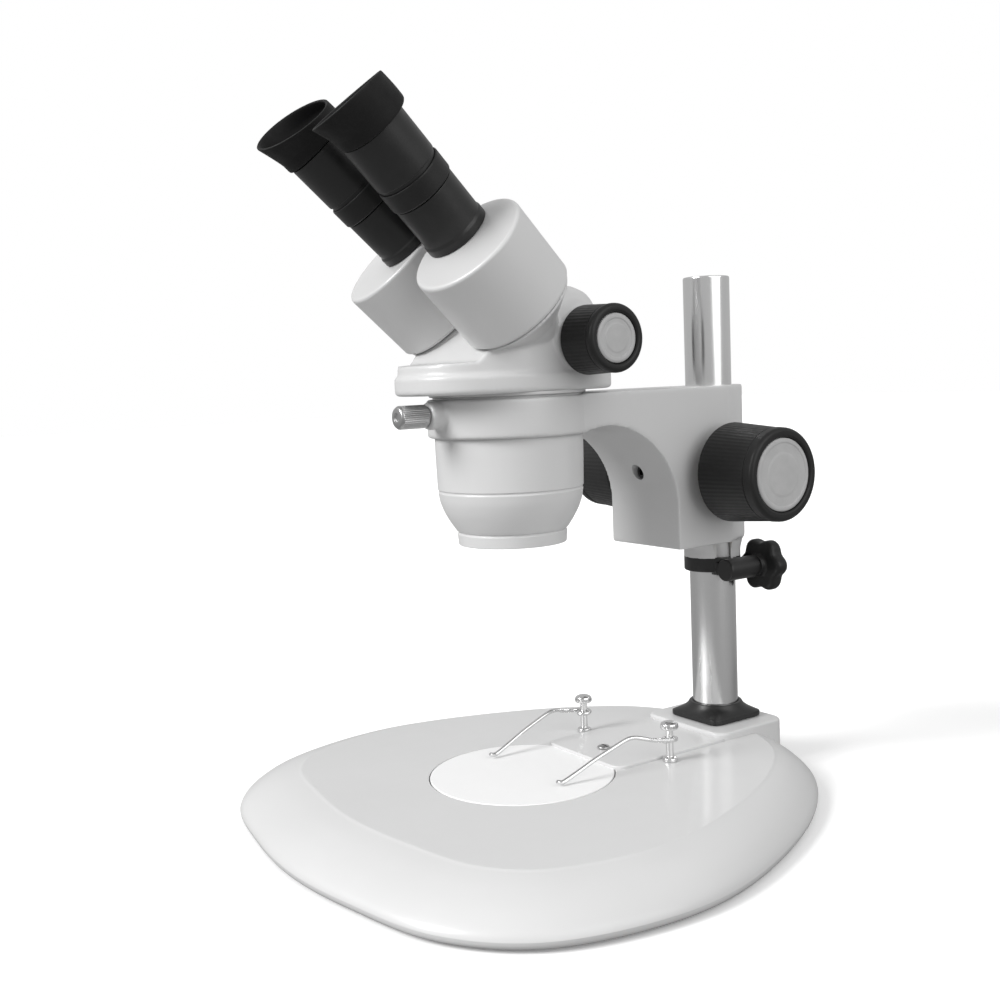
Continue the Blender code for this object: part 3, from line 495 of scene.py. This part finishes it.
def make_clips():
    for name, side in SIDES:
        pivot = JOINTS["clip_turn_" + name]["pos_m"]
        place = stand((pivot[0], pivot[1], 0))
        body = "clip_" + name
        _, high, _ = reach("clip_post_" + name, place)
        post = [(0, high - 32), (2.3, high - 32), (2.3, 22.0, 0), (3.9, 22.0, 0.2), (3.7, 23.8, 0.5),
                (1.9, 24.3, 0.6), (1.9, high - 4.6, 0.4), (4.4, high - 4.2, 0.5), (4.7, high - 3.2, 0.3),
                (4.4, high - 1.2, 0.9), (2.4, high - 0.2, 1.2), (0, high)]
        knurl = ribs(20, 0.25, high - 4, high - 1.4, 3.4)
        piece("post_of_clip_" + name, turn(post, count=60, shape=knurl), CHROME, body,
              ["clip_post_" + name], place)

        coil = [(3.3 * math.cos(math.radians(300 - 15 * k)), 3.3 * math.sin(math.radians(300 - 15 * k)),
                 32.4 + 0.05 * k) for k in range(21)]
        bend = [(1.6, -12, 35.4), (0.6, -17, 36.9), (-1.6, -22, 38.0), (-2.4, -27, 37.6),
                (-3.2, -36, 34.6), (-4.2, -46, 31.0), (-5.0, -54, 27.6), (-5.8, -62, 24.4),
                (-6.0, -65, 23.7), (-6.2, -68, 24.6)]
        path = coil[:-1] + [tuple(p) for p in catmull([coil[-1]] + bend, 6, closed=False)]
        curve = bpy.data.curves.new("spring_wire_" + name, "CURVE")
        curve.dimensions = "3D"
        curve.bevel_depth = 1.1 * MM
        curve.bevel_resolution = 6
        curve.use_fill_caps = True
        spline = curve.splines.new("POLY")
        spline.points.add(len(path) - 1)
        for i, (point, p) in enumerate(zip(spline.points, path)):
            from_end = min(i, len(path) - 1 - i)
            point.co = (side * p[0] * MM, p[1] * MM, p[2] * MM, 1.0)
            point.radius = (0.55, 0.85)[from_end] if from_end < 2 else 1.0
        spline.use_smooth = True
        curve.materials.append(CHROME)
        wire = bpy.data.objects.new("spring_wire_" + name, curve)
        bpy.context.scene.collection.objects.link(wire)
        wire.matrix_world = place
        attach(wire, body)
        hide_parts("clip_wire_" + name)


# Collar, sleeve and arm ---------------------------------------------------------

def make_collar():
    high = reach("height_collar", POLE_AXIS)[1]
    low = high - COLLAR_HEIGHT
    pole = reach("pole", POLE_AXIS)[2]
    bore_radius = pole + SLIDE_GAP
    ring = turn([(bore_radius, low), (pole + 3, low), (pole + 3, high), (bore_radius, high)],
                closed=True, count=96)
    screw = JOINTS["collar_screw_turn"]
    pivot = Vector(screw["pos_m"])
    place = stand(pivot, screw["axis"])
    lug = moved(turn([(0, -11), (6, -11, 0.6), (6, 11, 0.6), (0, 11)], count=48),
                within(POLE_AXIS, place))
    z = pivot.z / MM
    web = skin([level([(9, -9.5), (pivot.x / MM, -9.5), (pivot.x / MM, 9.5), (9, 9.5)], z + dz)
                for dz in (-3.6, 3.4)])
    slit = skin([level([(4, -0.7), (16.5, -0.7), (16.5, 0.7), (4, 0.7)], z + dz) for dz in (-9, 9)])
    body = cast([ring, lug, web], 0.45, 3)
    bore = turn([(0, low - 20), (bore_radius, low - 20, 0), (bore_radius, high + 20, 0), (0, high + 20)],
                count=96)
    piece("height_clamp", boolean(body, [bore, slit], "DIFFERENCE"), ANODISED, "collar",
          ["height_collar"], POLE_AXIS)

    low, high, radius = reach("collar_stud", place)
    piece("clamp_stud", turn([(0, low), (radius, low), (radius, high), (0, high)], count=48), STEEL,
          "collar_screw", ["collar_stud"], place)
    low, high, radius = reach("collar_knob", place)

    hub, lobe_count, lobe_depth = 6.5, 6, 2.5

    def lobes(a, r, _height):
        if r <= hub:
            return r
        wave = 0.5 - 0.5 * math.cos(lobe_count * a)
        return r - (r - hub) / (radius - hub) * lobe_depth * wave ** 1.25

    knob = [(0, low + 8), (2.3, low + 8, 0), (2.3, low, 0.2), (5.6, low, 0.6), (6.2, low + 2.6, 1.2),
            (radius - 1.6, low + 3.0, 1.0), (radius, low + 4.6, 1.4), (radius, high - 3.4, 1.6),
            (radius - 2.0, high - 0.9, 1.6), (7.6, high - 0.6, 1.0), (6.6, high - 1.6, 0.4),
            (4.6, high - 1.6, 0.4), (4.0, high, 0.5), (0, high)]
    piece("lobed_clamp_knob", turn(knob, count=144, shape=lobes), PLASTIC, "collar_screw",
          ["collar_knob"], place)


def make_sleeve():
    low, high, radius = reach("pole_sleeve", POLE_AXIS)
    bore = reach("pole", POLE_AXIS)[2] + SLIDE_GAP
    tube = turn([(bore, low), (radius, low), (radius, high), (bore, high)], closed=True, count=96)
    piece("swivel_sleeve", tube, STEEL, "sleeve", ["pole_sleeve"], POLE_AXIS)
    refinish("focus_rack", BRASS)


def arm_solids():
    """The overlapping solids that the arm is cast from, in millimetres about the optical axis."""
    low, high = (v.z / MM for v in map(Vector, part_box("arm_casting")))
    bottom = low + 11.9
    arch_y, arch_z, arch_low = 38.0, high - 16.5, high - 61.0
    start_y, end_y = 22.0, 156.0
    side = [(start_y, high - 18.0)]
    for k in range(33):
        a = math.pi / 2 * (1 - k / 32)
        side.append((arch_y + (ARM_FRONT - arch_y) * math.cos(a),
                     arch_low + (arch_z - arch_low) * math.sin(a)))
    side += [(ARM_FRONT, bottom), (end_y, bottom), (end_y, high), (start_y, high)]
    slab = skin([[(x, y, z) for y, z in side] for x in (-45, 45)])

    # Seen from above, the sides run from the ring to a corner, and then touch the round boss.
    corner = 124.0
    distance = math.hypot(ARM_HALF, POLE_Y - corner)
    start = math.acos(ARM_BOSS / distance) - math.atan2(POLE_Y - corner, ARM_HALF)
    half = [tuple(p) for p in catmull([(35, 17), (31.5, 29), (28.6, 43), (ARM_HALF, 60)], 5, False)]
    half += [(ARM_HALF, corner - 1.5), (ARM_HALF - 0.5, corner + 0.6)]
    for k in range(18):
        a = start + (math.pi / 2 - start) * k / 18
        half.append((ARM_BOSS * math.cos(a), POLE_Y + ARM_BOSS * math.sin(a)))
    half.append((0, POLE_Y + ARM_BOSS))
    plan = half + [(-x, y) for x, y in reversed(half[:-1])]
    plan_block = skin([level(plan, z) for z in (bottom - 10, high + 10)])
    body = boolean(slab, [plan_block], "INTERSECT")

    ring = turn([(30, RING_BOTTOM), (RING_RADIUS, RING_BOTTOM, 0.8), (RING_RADIUS, high - 0.4, 1.2),
                 (30, high - 0.4)], closed=True, count=128)
    hub = moved(turn([(0, -33.5), (14.8, -33.5, 1.2), (14.8, 33.5, 1.2), (0, 33.5)], count=80),
                within(HEAD_AXIS, stand(JOINTS["focus_knob_turn"]["pos_m"], (1, 0, 0))))
    clamp = Vector(JOINTS["ring_screw_turn"]["pos_m"])
    spout = moved(turn([(0, 37.5), (6.6, 37.5, 0), (6.6, 46.4, 0.8), (0, 46.4)], count=48),
                  within(HEAD_AXIS, stand((clamp.x, PLATE_CENTRE.y, clamp.z), (0, -1, 0))))
    neck = moved(turn([(0, low), (15.5, low, 0), (15.5, low + 5.5, 1), (16.6, low + 9.5, 2),
                       (ARM_BOSS - 0.2, low + 17, 2), (ARM_BOSS - 0.2, low + 26, 0), (0, low + 26)],
                      count=80),
                 Matrix.Translation((0, POLE_Y, 0)))
    return [body, ring, hub, spout, neck], low, high


def arm_cutters(low, high):
    """The head's bore, the sleeve's and pole's bore, the set screw's hole and the rack's channel."""
    sleeve = reach("pole_sleeve", POLE_AXIS)[2] + SLIDE_GAP
    pole = reach("pole", POLE_AXIS)[2] + 0.45
    ledge = reach("pole_sleeve", POLE_AXIS)[1] + 0.8
    past = 8.0                                   # how far a cutter runs past the casting
    head_bore = turn([(0, 180), (36.8, 180, 0), (36.8, high - 1.2, 0), (37.6, high - 0.3, 0),
                      (37.6, high + past, 0), (0, high + past)], count=128)
    pole_bore = turn([(0, low - past), (sleeve, low - past, 0), (sleeve, ledge, 0), (pole, ledge, 0),
                      (pole, high - 0.7, 0), (pole + 0.7, high + 0.1, 0), (pole + 0.7, high + past, 0),
                      (0, high + past)], count=96)
    screw = middle("arm_set_screw")
    wall = reach("arm_set_screw", stand((screw.x, PLATE_CENTRE.y, screw.z), (0, 1, 0)))[2] + 0.15
    hole = turn([(0, 70), (wall, 70, 0), (wall, 100, 0), (0, 100)], count=48)
    rack_low, rack_high = (Vector(corner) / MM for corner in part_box("focus_rack"))
    front, rear = (y - PLATE_CENTRE.y / MM for y in (rack_low.y - 0.4, rack_high.y + 0.2))
    inner, outer = 12.0, rack_high.x + 0.3
    channel = skin([level([(inner, front), (outer, front), (outer, rear), (inner, rear)], z)
                    for z in (low - past, ledge)])
    return [head_bore, moved(pole_bore, Matrix.Translation((0, POLE_Y, 0))),
            moved(hole, stand((0, 0, screw.z / MM), (0, 1, 0))), channel]


def make_arm():
    solids, low, high = arm_solids()
    cutters = arm_cutters(low, high)
    piece("arm_body", boolean(cast(solids, 0.95, 4), cutters, "DIFFERENCE"), PAINT_ARM, "arm",
          ["arm_casting"], HEAD_AXIS)

    centre = middle("arm_set_screw")
    place = stand((centre.x, PLATE_CENTRE.y, centre.z), (0, 1, 0))
    screw_low, screw_high, radius = reach("arm_set_screw", place)
    mouth = screw_low - 2.4                      # the screw fills its hole nearly to the arch
    screw = turn([(0, mouth + 2.6), (1.7, mouth + 2.6, 0), (1.9, mouth, 0.2), (radius - 0.9, mouth, 0.2),
                  (radius, mouth + 0.9, 0.3), (radius, screw_high), (0, screw_high)], count=48)
    piece("socket_set_screw", screw, ANODISED, "arm", ["arm_set_screw"], place)

    focus = JOINTS["focus_knob_turn"]
    for name, side in SIDES:
        place = stand(focus["pos_m"], (side, 0, 0), (0, 0, 1))
        bush_low, bush_high, radius = reach("focus_bush_" + name, place)
        ring = [(2.7, bush_low), (radius, bush_low), (radius, bush_high), (2.7, bush_high)]
        piece("bush_of_focus_" + name, turn(ring, closed=True, count=64), BRASS, "arm",
              ["focus_bush_" + name], place)

    clamp = JOINTS["ring_screw_turn"]
    place = stand(clamp["pos_m"], clamp["axis"])
    low, high, radius = reach("ring_clamp_screw", place)
    grip = high - 15.2
    knob = [(0, low), (1.9, low), (1.9, high - 15.8, 0), (radius - 0.7, high - 15.8, 0.3),
            (radius - 0.7, grip, 0.2), (radius, grip + 0.3, 0.3), (radius, high - 1.4, 0.3),
            (radius - 0.9, high - 0.2, 0.5), (2.2, high, 0.2), (1.9, high - 0.7, 0.2), (0, high - 0.7)]
    piece("knurled_ring_screw", turn(knob, count=160, shape=ribs(40, 0.3, grip, high - 1.2, 4.2)), STEEL,
          "ring_screw", ["ring_clamp_screw"], place)


def make_knob(node, body, insert, place, ribs_count, rim):
    """A hand knob with straight ribs, a plain rim and a light disc in its face."""
    low, high, radius = reach(node, place)
    disc_low, disc_high, disc = reach(insert, place)
    taper = 2.7 if radius > 20 else 0.9
    edge = radius - taper
    shoulder = high - rim
    rib_radius = radius - taper * (shoulder - low) / (high - low)
    profile = [(2.9, low), (radius - 2.4, low, 0.9), (radius - 0.4, low + 0.9, 0.9),
               (rib_radius - 0.35, shoulder - 0.9, 0.3), (rib_radius - 0.9, shoulder - 0.5, 0.2),
               (rib_radius - 0.2, shoulder, 0.3), (edge, high - 1.4, 0.9), (edge - 1.3, high, 0.8),
               (disc + 1.2, high, 0.5), (disc + 0.4, high - 0.9, 0.3), (disc + 0.4, disc_low - 0.2, 0),
               (2.9, disc_low - 0.2)]
    mesh = turn(profile, closed=True, count=ribs_count * 6,
                shape=ribs(ribs_count, 0.55, low + 1.6, shoulder - 1.0, rib_radius - 2.5))
    piece("ribbed_" + node, mesh, PLASTIC, body, [node], place)
    face = [(0, disc_low), (disc, disc_low, 0.1), (disc, disc_high - 0.5, 0.3),
            (disc - 1.0, disc_high, 0.3), (disc - 2.2, disc_high, 0.2),
            (disc - 2.6, disc_high - 0.35, 0.15),
            (disc * 0.62, disc_high - 0.35, 0.2), (disc * 0.56, disc_high - 0.1, 0.3),
            (0, disc_high + 0.15)]
    piece("face_of_" + node, turn(face, count=128), INSERT, body, [insert], place)


def refinish(node, material):
    """Keeps a CAD node's shape and gives it its own finish."""
    mesh = frame["nodes"][node].data
    mesh.materials.clear()
    mesh.materials.append(material)


def make_drives():
    for joint, body, stem, count, rim in (("focus_knob_turn", "focus_drive", "focus", 72, 5.5),
                                          ("zoom", "zoom_drive", "zoom", 54, 3.6)):
        refinish(stem + "_pinion_shaft", STEEL)
        for name, side in SIDES:
            place = stand(JOINTS[joint]["pos_m"], (side, 0, 0), (0, 0, 1))
            make_knob("%s_knob_%s" % (stem, name), body, "%s_insert_%s" % (stem, name), place,
                      count, rim)


# Head ---------------------------------------------------------------------------

def superellipse(x_half, front, rear, power=2.5, count=120):
    points = []
    for i in range(count):
        a = 2 * math.pi * i / count
        c, s = math.cos(a), math.sin(a)
        x = x_half * math.copysign(abs(c) ** (2 / power), c)
        y = (rear if s > 0 else front) * math.copysign(abs(s) ** (2 / power), s)
        points.append((x, y))
    return points


def drum_place(name, side):
    """The frame of a prism housing: +Z along it, +X away from the other one."""
    joint = JOINTS["eye_distance" if name == "right" else "eye_distance_left"]
    return stand(joint["pos_m"], joint["axis"], (side, 0, 0))


def make_head():
    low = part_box("head_casting")[0][2] / MM
    sizes = [(37.4, 54.4, 51.8, low), (38.6, 55.8, 53.2, low + 1.2), (38.6, 55.8, 53.2, low + 8.3),
             (37.3, 54.2, 51.9, low + 9.4), (37.0, 53.2, 50.8, 230.5), (35.6, 49.0, 49.0, 241.0),
             (33.4, 44.0, 45.6, 252.5), (30.4, 39.0, 41.0, 259.0), (25.0, 31.0, 34.5, 262.5)]
    upper = catmull([sizes[3]] + sizes[4:], 6, closed=False)
    rings = [level(superellipse(*s[:3]), s[3]) for s in sizes[:3] + [tuple(p) for p in upper]]
    block = skin(rings)

    # Above the ledge, the head's front is cut off square to the drums.
    drum = drum_place("right", 1)
    along = Vector(JOINTS["eye_distance"]["axis"])
    tilt = math.atan2(along.z, math.hypot(along.x, along.y))
    centre = within(HEAD_AXIS, drum).translation
    middle_y, middle_z = centre.y + 0.6 * math.cos(tilt), centre.z - 0.6 * math.sin(tilt)
    ledge = low + LEDGE_RISE
    down = (middle_z - ledge) / math.cos(tilt)
    side_view = [(middle_y + 60 * math.sin(tilt), middle_z + 60 * math.cos(tilt)),
                 (middle_y - down * math.sin(tilt), ledge), (-70, ledge - 1.5), (-70, 320)]
    wedge = skin([[(x, y, z) for y, z in side_view] for x in (-60, 60)])
    parts = [boolean(block, [wedge], "DIFFERENCE", "EXACT")]
    drum_radius = reach("prism_housing_right", drum)[2]
    for name, side in SIDES:
        zoom = within(HEAD_AXIS, stand(JOINTS["zoom"]["pos_m"], (side, 0, 0), (0, 0, 1)))
        parts.append(moved(turn([(0, 18), (24, 18, 0), (20.5, 29, 3), (17.4, 35.5, 2), (15.4, 38.2, 1),
                                 (14.4, 38.9, 0.5), (0, 38.9)], count=96), zoom))
        stub = within(HEAD_AXIS, drum_place(name, side))
        parts.append(moved(turn([(0, -20), (9, -20, 0), (14, -13, 1), (drum_radius - 1.4, -1.6, 0.6),
                                 (drum_radius - 2.0, -0.7, 0.3), (0, -0.7)], count=96), stub))
    piece("head_shell", cast(parts, 0.8, 4), PAINT, "head", ["head_casting"], HEAD_AXIS)

    low, high, _ = reach("nosepiece", HEAD_AXIS)
    bell = [(24, low, 0.3), (26.6, low, 0.5), (27.0, low + 5.5, 0.3), (26.5, low + 5.9, 0.15),
            (26.5, low + 6.5, 0.15), (27.4, low + 7.0, 1.2), (30.5, low + 11.7, 2.5),
            (33, low + 16.2, 2.5), (34.9, low + 21.4, 2.2), (35.6, low + 26.0, 0.6),
            (35.25, low + 26.5, 0.15), (35.25, low + 27.1, 0.15), (35.75, low + 27.5, 0.3),
            (36.2, low + 45, 2), (36.4, high - 2.6, 0), (36.4, high - 1.9, 0),
            (38.2, high - 1.5, 0.4), (38.2, high, 0.3), (30, high), (30, low + 26), (24, low + 9)]
    piece("nosepiece_shell", turn(bell, closed=True, count=160), PAINT, "head",
          ["nosepiece"], HEAD_AXIS)

    low, high, radius = reach("objective_cell", HEAD_AXIS)
    disc = turn([(0, low), (radius - 4, low, 0), (radius - 3.4, low, 0.1), (radius, low, 0.3),
                 (radius, high, 0.3), (0, high)], count=120)
    holes = []
    for name, _ in SIDES:
        offset = (middle("objective_lens_" + name) - PLATE_CENTRE).x / MM
        hole = turn([(0, low - 3), (11.2, low - 3, 0), (9.7, low + 1.2, 0), (9.7, high + 3, 0),
                     (0, high + 3)], count=72)
        holes.append(moved(hole, Matrix.Translation((offset, 0, 0))))
    piece("lens_cell", boolean(disc, holes, "DIFFERENCE"), ANODISED, "head",
          ["objective_cell"], HEAD_AXIS)
    for name, _ in SIDES:
        make_lens("objective_lens_" + name, "head", upright("objective_lens_" + name))
        place = stand(JOINTS["zoom"]["pos_m"], (side, 0, 0), (0, 0, 1))
        bush_low, bush_high, radius = reach("zoom_bush_" + name, place)
        ring = [(2.4, bush_low), (radius, bush_low), (radius, bush_high), (2.4, bush_high)]
        piece("bush_of_zoom_" + name, turn(ring, closed=True, count=64), BRASS, "head",
              ["zoom_bush_" + name], place)


def make_lens(node, body, place):
    """A lens with polished crowned faces and a ground edge."""
    low, high, radius = reach(node, place)
    bulge = (high - low) * 0.22
    lower = [(radius * k / 10, low + bulge * (k / 10) ** 2, 0) for k in range(11)]
    upper = [(radius * k / 10, high - bulge * (k / 10) ** 2, 0) for k in range(10, -1, -1)]
    piece("crowned_" + node, turn(lower + upper, count=72), LENS, body, [node], place)


def make_inner_parts():
    """Pieces that stay inside the housings keep their CAD shape and get their own finish."""
    finishes = {"pole_bolt": STEEL, "zoom_guide_rod": CHROME, "zoom_carriage": ANODISED,
                "zoom_lens_left": LENS, "zoom_lens_right": LENS, "prism_left": LENS, "prism_right": LENS}
    for node, material in finishes.items():
        refinish(node, material)


# Eyepieces ------------------------------------------------------------------------

def make_eyecup(name, side, body, place):
    """A soft cup, flaring from its foot to a slanted rim that is highest on its outer side."""
    low, high, _ = reach("eyecup_" + name, place)
    rim_middle = high - CUP_SWING
    foot = low + 4.6
    count = 144

    def ring(radius, rise, height=None):
        """Radii are those of the straight upper side; the outer lower side starts narrower."""
        points = []
        for i in range(count):
            from_out = 2 * math.pi * i * side / count
            rim = rim_middle + CUP_SWING * math.cos(from_out + CUP_PHASE)
            taper = -1.4 * (1 - rise) * (1 - math.cos(from_out - 2 * CUP_PHASE))
            flare = rise ** 1.4 * 0.9 * math.cos(from_out + 3 * CUP_PHASE)
            r = radius + taper + flare
            a = from_out * side
            z = foot + rise * (rim - foot) if height is None else height
            points.append((r * math.cos(a), r * math.sin(a), z))
        return points

    def inner(radius, height):
        angles = [2 * math.pi * i / count for i in range(count)]
        return [(radius * math.cos(a), radius * math.sin(a), height) for a in angles]

    rings = [inner(13.6, low), ring(18.0, 0, low), ring(18.6, 0, low + 0.12), ring(18.9, 0, low + 0.5),
             ring(19.0, 0, low + 1.2), ring(19.0, 0, foot - 0.2)]
    rings += [ring(19.0, k / 10) for k in range(1, 10)]
    rings += [ring(18.95, 0.965), ring(18.75, 0.99), ring(18.4, 1.0), ring(17.9, 1.0), ring(17.6, 0.985)]
    rings += [ring(17.3, t) for t in (0.9, 0.7, 0.5, 0.3)]
    rings += [inner(15.6, foot + 1.4), inner(15.0, foot - 0.3), inner(13.6, foot - 1.0)]
    piece("flared_eyecup_" + name, skin(rings, closed=True), RUBBER, body,
          ["eyecup_" + name], place, 60)


def make_eyepieces():
    for name, side in SIDES:
        place = drum_place(name, side)
        body = "drum_" + name
        low, high, radius = reach("prism_housing_" + name, place)
        shell = [(radius - 3.4, low, 0.3), (radius - 1.0, low, 0.4), (radius - 1.0, low + 0.9, 0.2),
                 (radius, low + 1.3, 0.3), (radius, high, 2.0), (0, high)]
        inside = [(0, high - 3.4), (radius - 3.4, high - 3.4, 0.5)]
        piece("drum_shell_" + name, turn(inside + shell, count=160), PAINT, body,
              ["prism_housing_" + name], place)

        eye = JOINTS["diopter_turn_" + name]
        place = stand(eye["pos_m"], eye["axis"], (side, 0, 0))
        low, high, radius = reach("eyepiece_tube_" + name, place)
        wall = radius - 0.6
        tube = [(11.6, 0.3, 0), (radius, 0.3, 0.2), (radius, 4.0, 0.5), (wall, 4.9, 0.4),
                (wall, high, 0.3), (11.6, high, 0.2)]
        piece("tube_of_eyepiece_" + name, turn(tube, closed=True, count=120), ANODISED, body,
              ["eyepiece_tube_" + name], place)

        low, high, radius = reach("diopter_ring_" + name, place)
        ring_top, bore = high, 15.1
        ring = [(11.6, low, 0.2), (radius - 0.5, low, 0.3), (radius, low + 0.6, 0.3),
                (radius, high - 0.5, 0.2), (radius - 0.3, high, 0.2), (bore, high, 0.1),
                (bore, high - 6.6, 0), (11.6, high - 6.6, 0)]
        piece("ribbed_diopter_ring_" + name,
              turn(ring, closed=True, count=240, shape=ribs(60, 0.3, low + 1.0, high - 1.0, 14.5)),
              PLASTIC, "diopter_" + name, ["diopter_ring_" + name], place)

        low, high, radius = reach("eyepiece_barrel_" + name, place)
        neck = bore - 0.2
        barrel = [(9.4, low, 0.2), (11.2, low, 0.2), (11.2, ring_top - 4.7, 0),
                  (neck, ring_top - 4.7, 0), (neck, high - 26.4, 0), (radius - 0.1, high - 26.4, 0.2),
                  (radius, high - 25.9, 0.3), (radius, high - 3.0, 0.3), (13.1, high - 3.0, 0),
                  (13.1, high, 0.3), (10.9, high, 0.3), (10.9, high - 6.6, 0), (9.4, high - 6.6, 0)]
        piece("barrel_of_eyepiece_" + name, turn(barrel, closed=True, count=120), ANODISED,
              "eyepiece_" + name, ["eyepiece_barrel_" + name], place)
        make_lens("eye_lens_" + name, "eyepiece_" + name, place)
        make_eyecup(name, side, "eyepiece_" + name, place)


# Studio -----------------------------------------------------------------------------

def make_floor():
    """A pale floor that looks white but throws back only as much light as the walls do."""
    size = 6.0
    mesh = bpy.data.meshes.new("floor")
    mesh.from_pydata([(-size, -size, 0), (size, -size, 0), (size, size, 0), (-size, size, 0)], [],
                     [(0, 1, 2, 3)])
    floor = bpy.data.objects.new("floor", mesh)
    bpy.context.scene.collection.objects.link(floor)
    nodes = Nodes("pale_floor")
    seen = nodes.add("LightPath").outputs["Is Camera Ray"]
    share = nodes.add("MapRange", {"Value": seen, "To Min": 0.3, "To Max": 1.0}).outputs["Result"]
    tone = nodes.between(nodes.noise(2.0), (0.94, 0.94, 0.94), (0.96, 0.96, 0.96))
    dimmed = nodes.add("VectorMath", {0: tone, "Scale": share}, operation="SCALE").outputs["Vector"]
    glow = nodes.add("MapRange", {"Value": seen, "To Min": 0.0, "To Max": 0.14}).outputs["Result"]
    nodes.set(Base_Color=dimmed, Roughness=0.9, Specular_IOR_Level=0.1,
              Emission_Color=(1.0, 1.0, 1.0, 1.0), Emission_Strength=glow)
    mesh.materials.append(nodes.material)


def soft_sun(name, toward, strength, spread):
    """A broad light from far away; toward points from the object to it, spread is in degrees."""
    data = bpy.data.lights.new(name, "SUN")
    data.energy = strength
    data.angle = math.radians(spread)
    lamp = bpy.data.objects.new(name, data)
    bpy.context.scene.collection.objects.link(lamp)
    lamp.rotation_euler = (-Vector(toward)).to_track_quat("-Z", "Y").to_euler()


def make_light():
    """A white studio: the walls look white, and light the object with less than that."""
    world = bpy.data.worlds.new("studio")
    bpy.context.scene.world = world
    world.use_nodes = True
    tree = world.node_tree
    background = tree.nodes["Background"]
    background.inputs["Color"].default_value = (1, 1, 1, 1)
    path = tree.nodes.new("ShaderNodeLightPath")
    strength = tree.nodes.new("ShaderNodeMapRange")
    strength.inputs["To Min"].default_value = 0.55
    strength.inputs["To Max"].default_value = 1.0
    tree.links.new(path.outputs["Is Camera Ray"], strength.inputs["Value"])
    tree.links.new(strength.outputs["Result"], background.inputs["Strength"])
    soft_sun("key", (-0.2, -0.96, 0.65), 3.1, 28)
    soft_sun("fill", (0.9, 0.1, 0.45), 1.35, 60)


def make_camera():
    """The viewpoint, worked out from the object's outline: right, up and back are its axes."""
    azimuth, elevation, roll = map(math.radians, (CAMERA_AZIMUTH, CAMERA_ELEVATION, CAMERA_ROLL))
    back = Vector((math.sin(azimuth) * math.cos(elevation), -math.cos(azimuth) * math.cos(elevation),
                   math.sin(elevation)))
    right = Vector((math.cos(azimuth), math.sin(azimuth), 0))
    up = back.cross(right)
    rolled_right = right * math.cos(roll) + up * math.sin(roll)
    rolled_up = up * math.cos(roll) - right * math.sin(roll)
    data = bpy.data.cameras.new("camera")
    data.lens = CAMERA_LENS
    data.sensor_width = 36.0
    data.clip_start = 0.01
    camera = bpy.data.objects.new("camera", data)
    bpy.context.scene.collection.objects.link(camera)
    matrix = Matrix((rolled_right, rolled_up, back)).transposed().to_4x4()
    matrix.translation = CAMERA_PLACE
    camera.matrix_world = matrix
    bpy.context.scene.camera = camera
    bpy.context.scene.view_settings.view_transform = "Standard"


make_camera()
make_light()
make_floor()
make_base()
make_plate()
make_pole()
make_clips()
make_collar()
make_sleeve()
make_arm()
make_drives()
make_head()
make_eyepieces()
make_inner_parts()
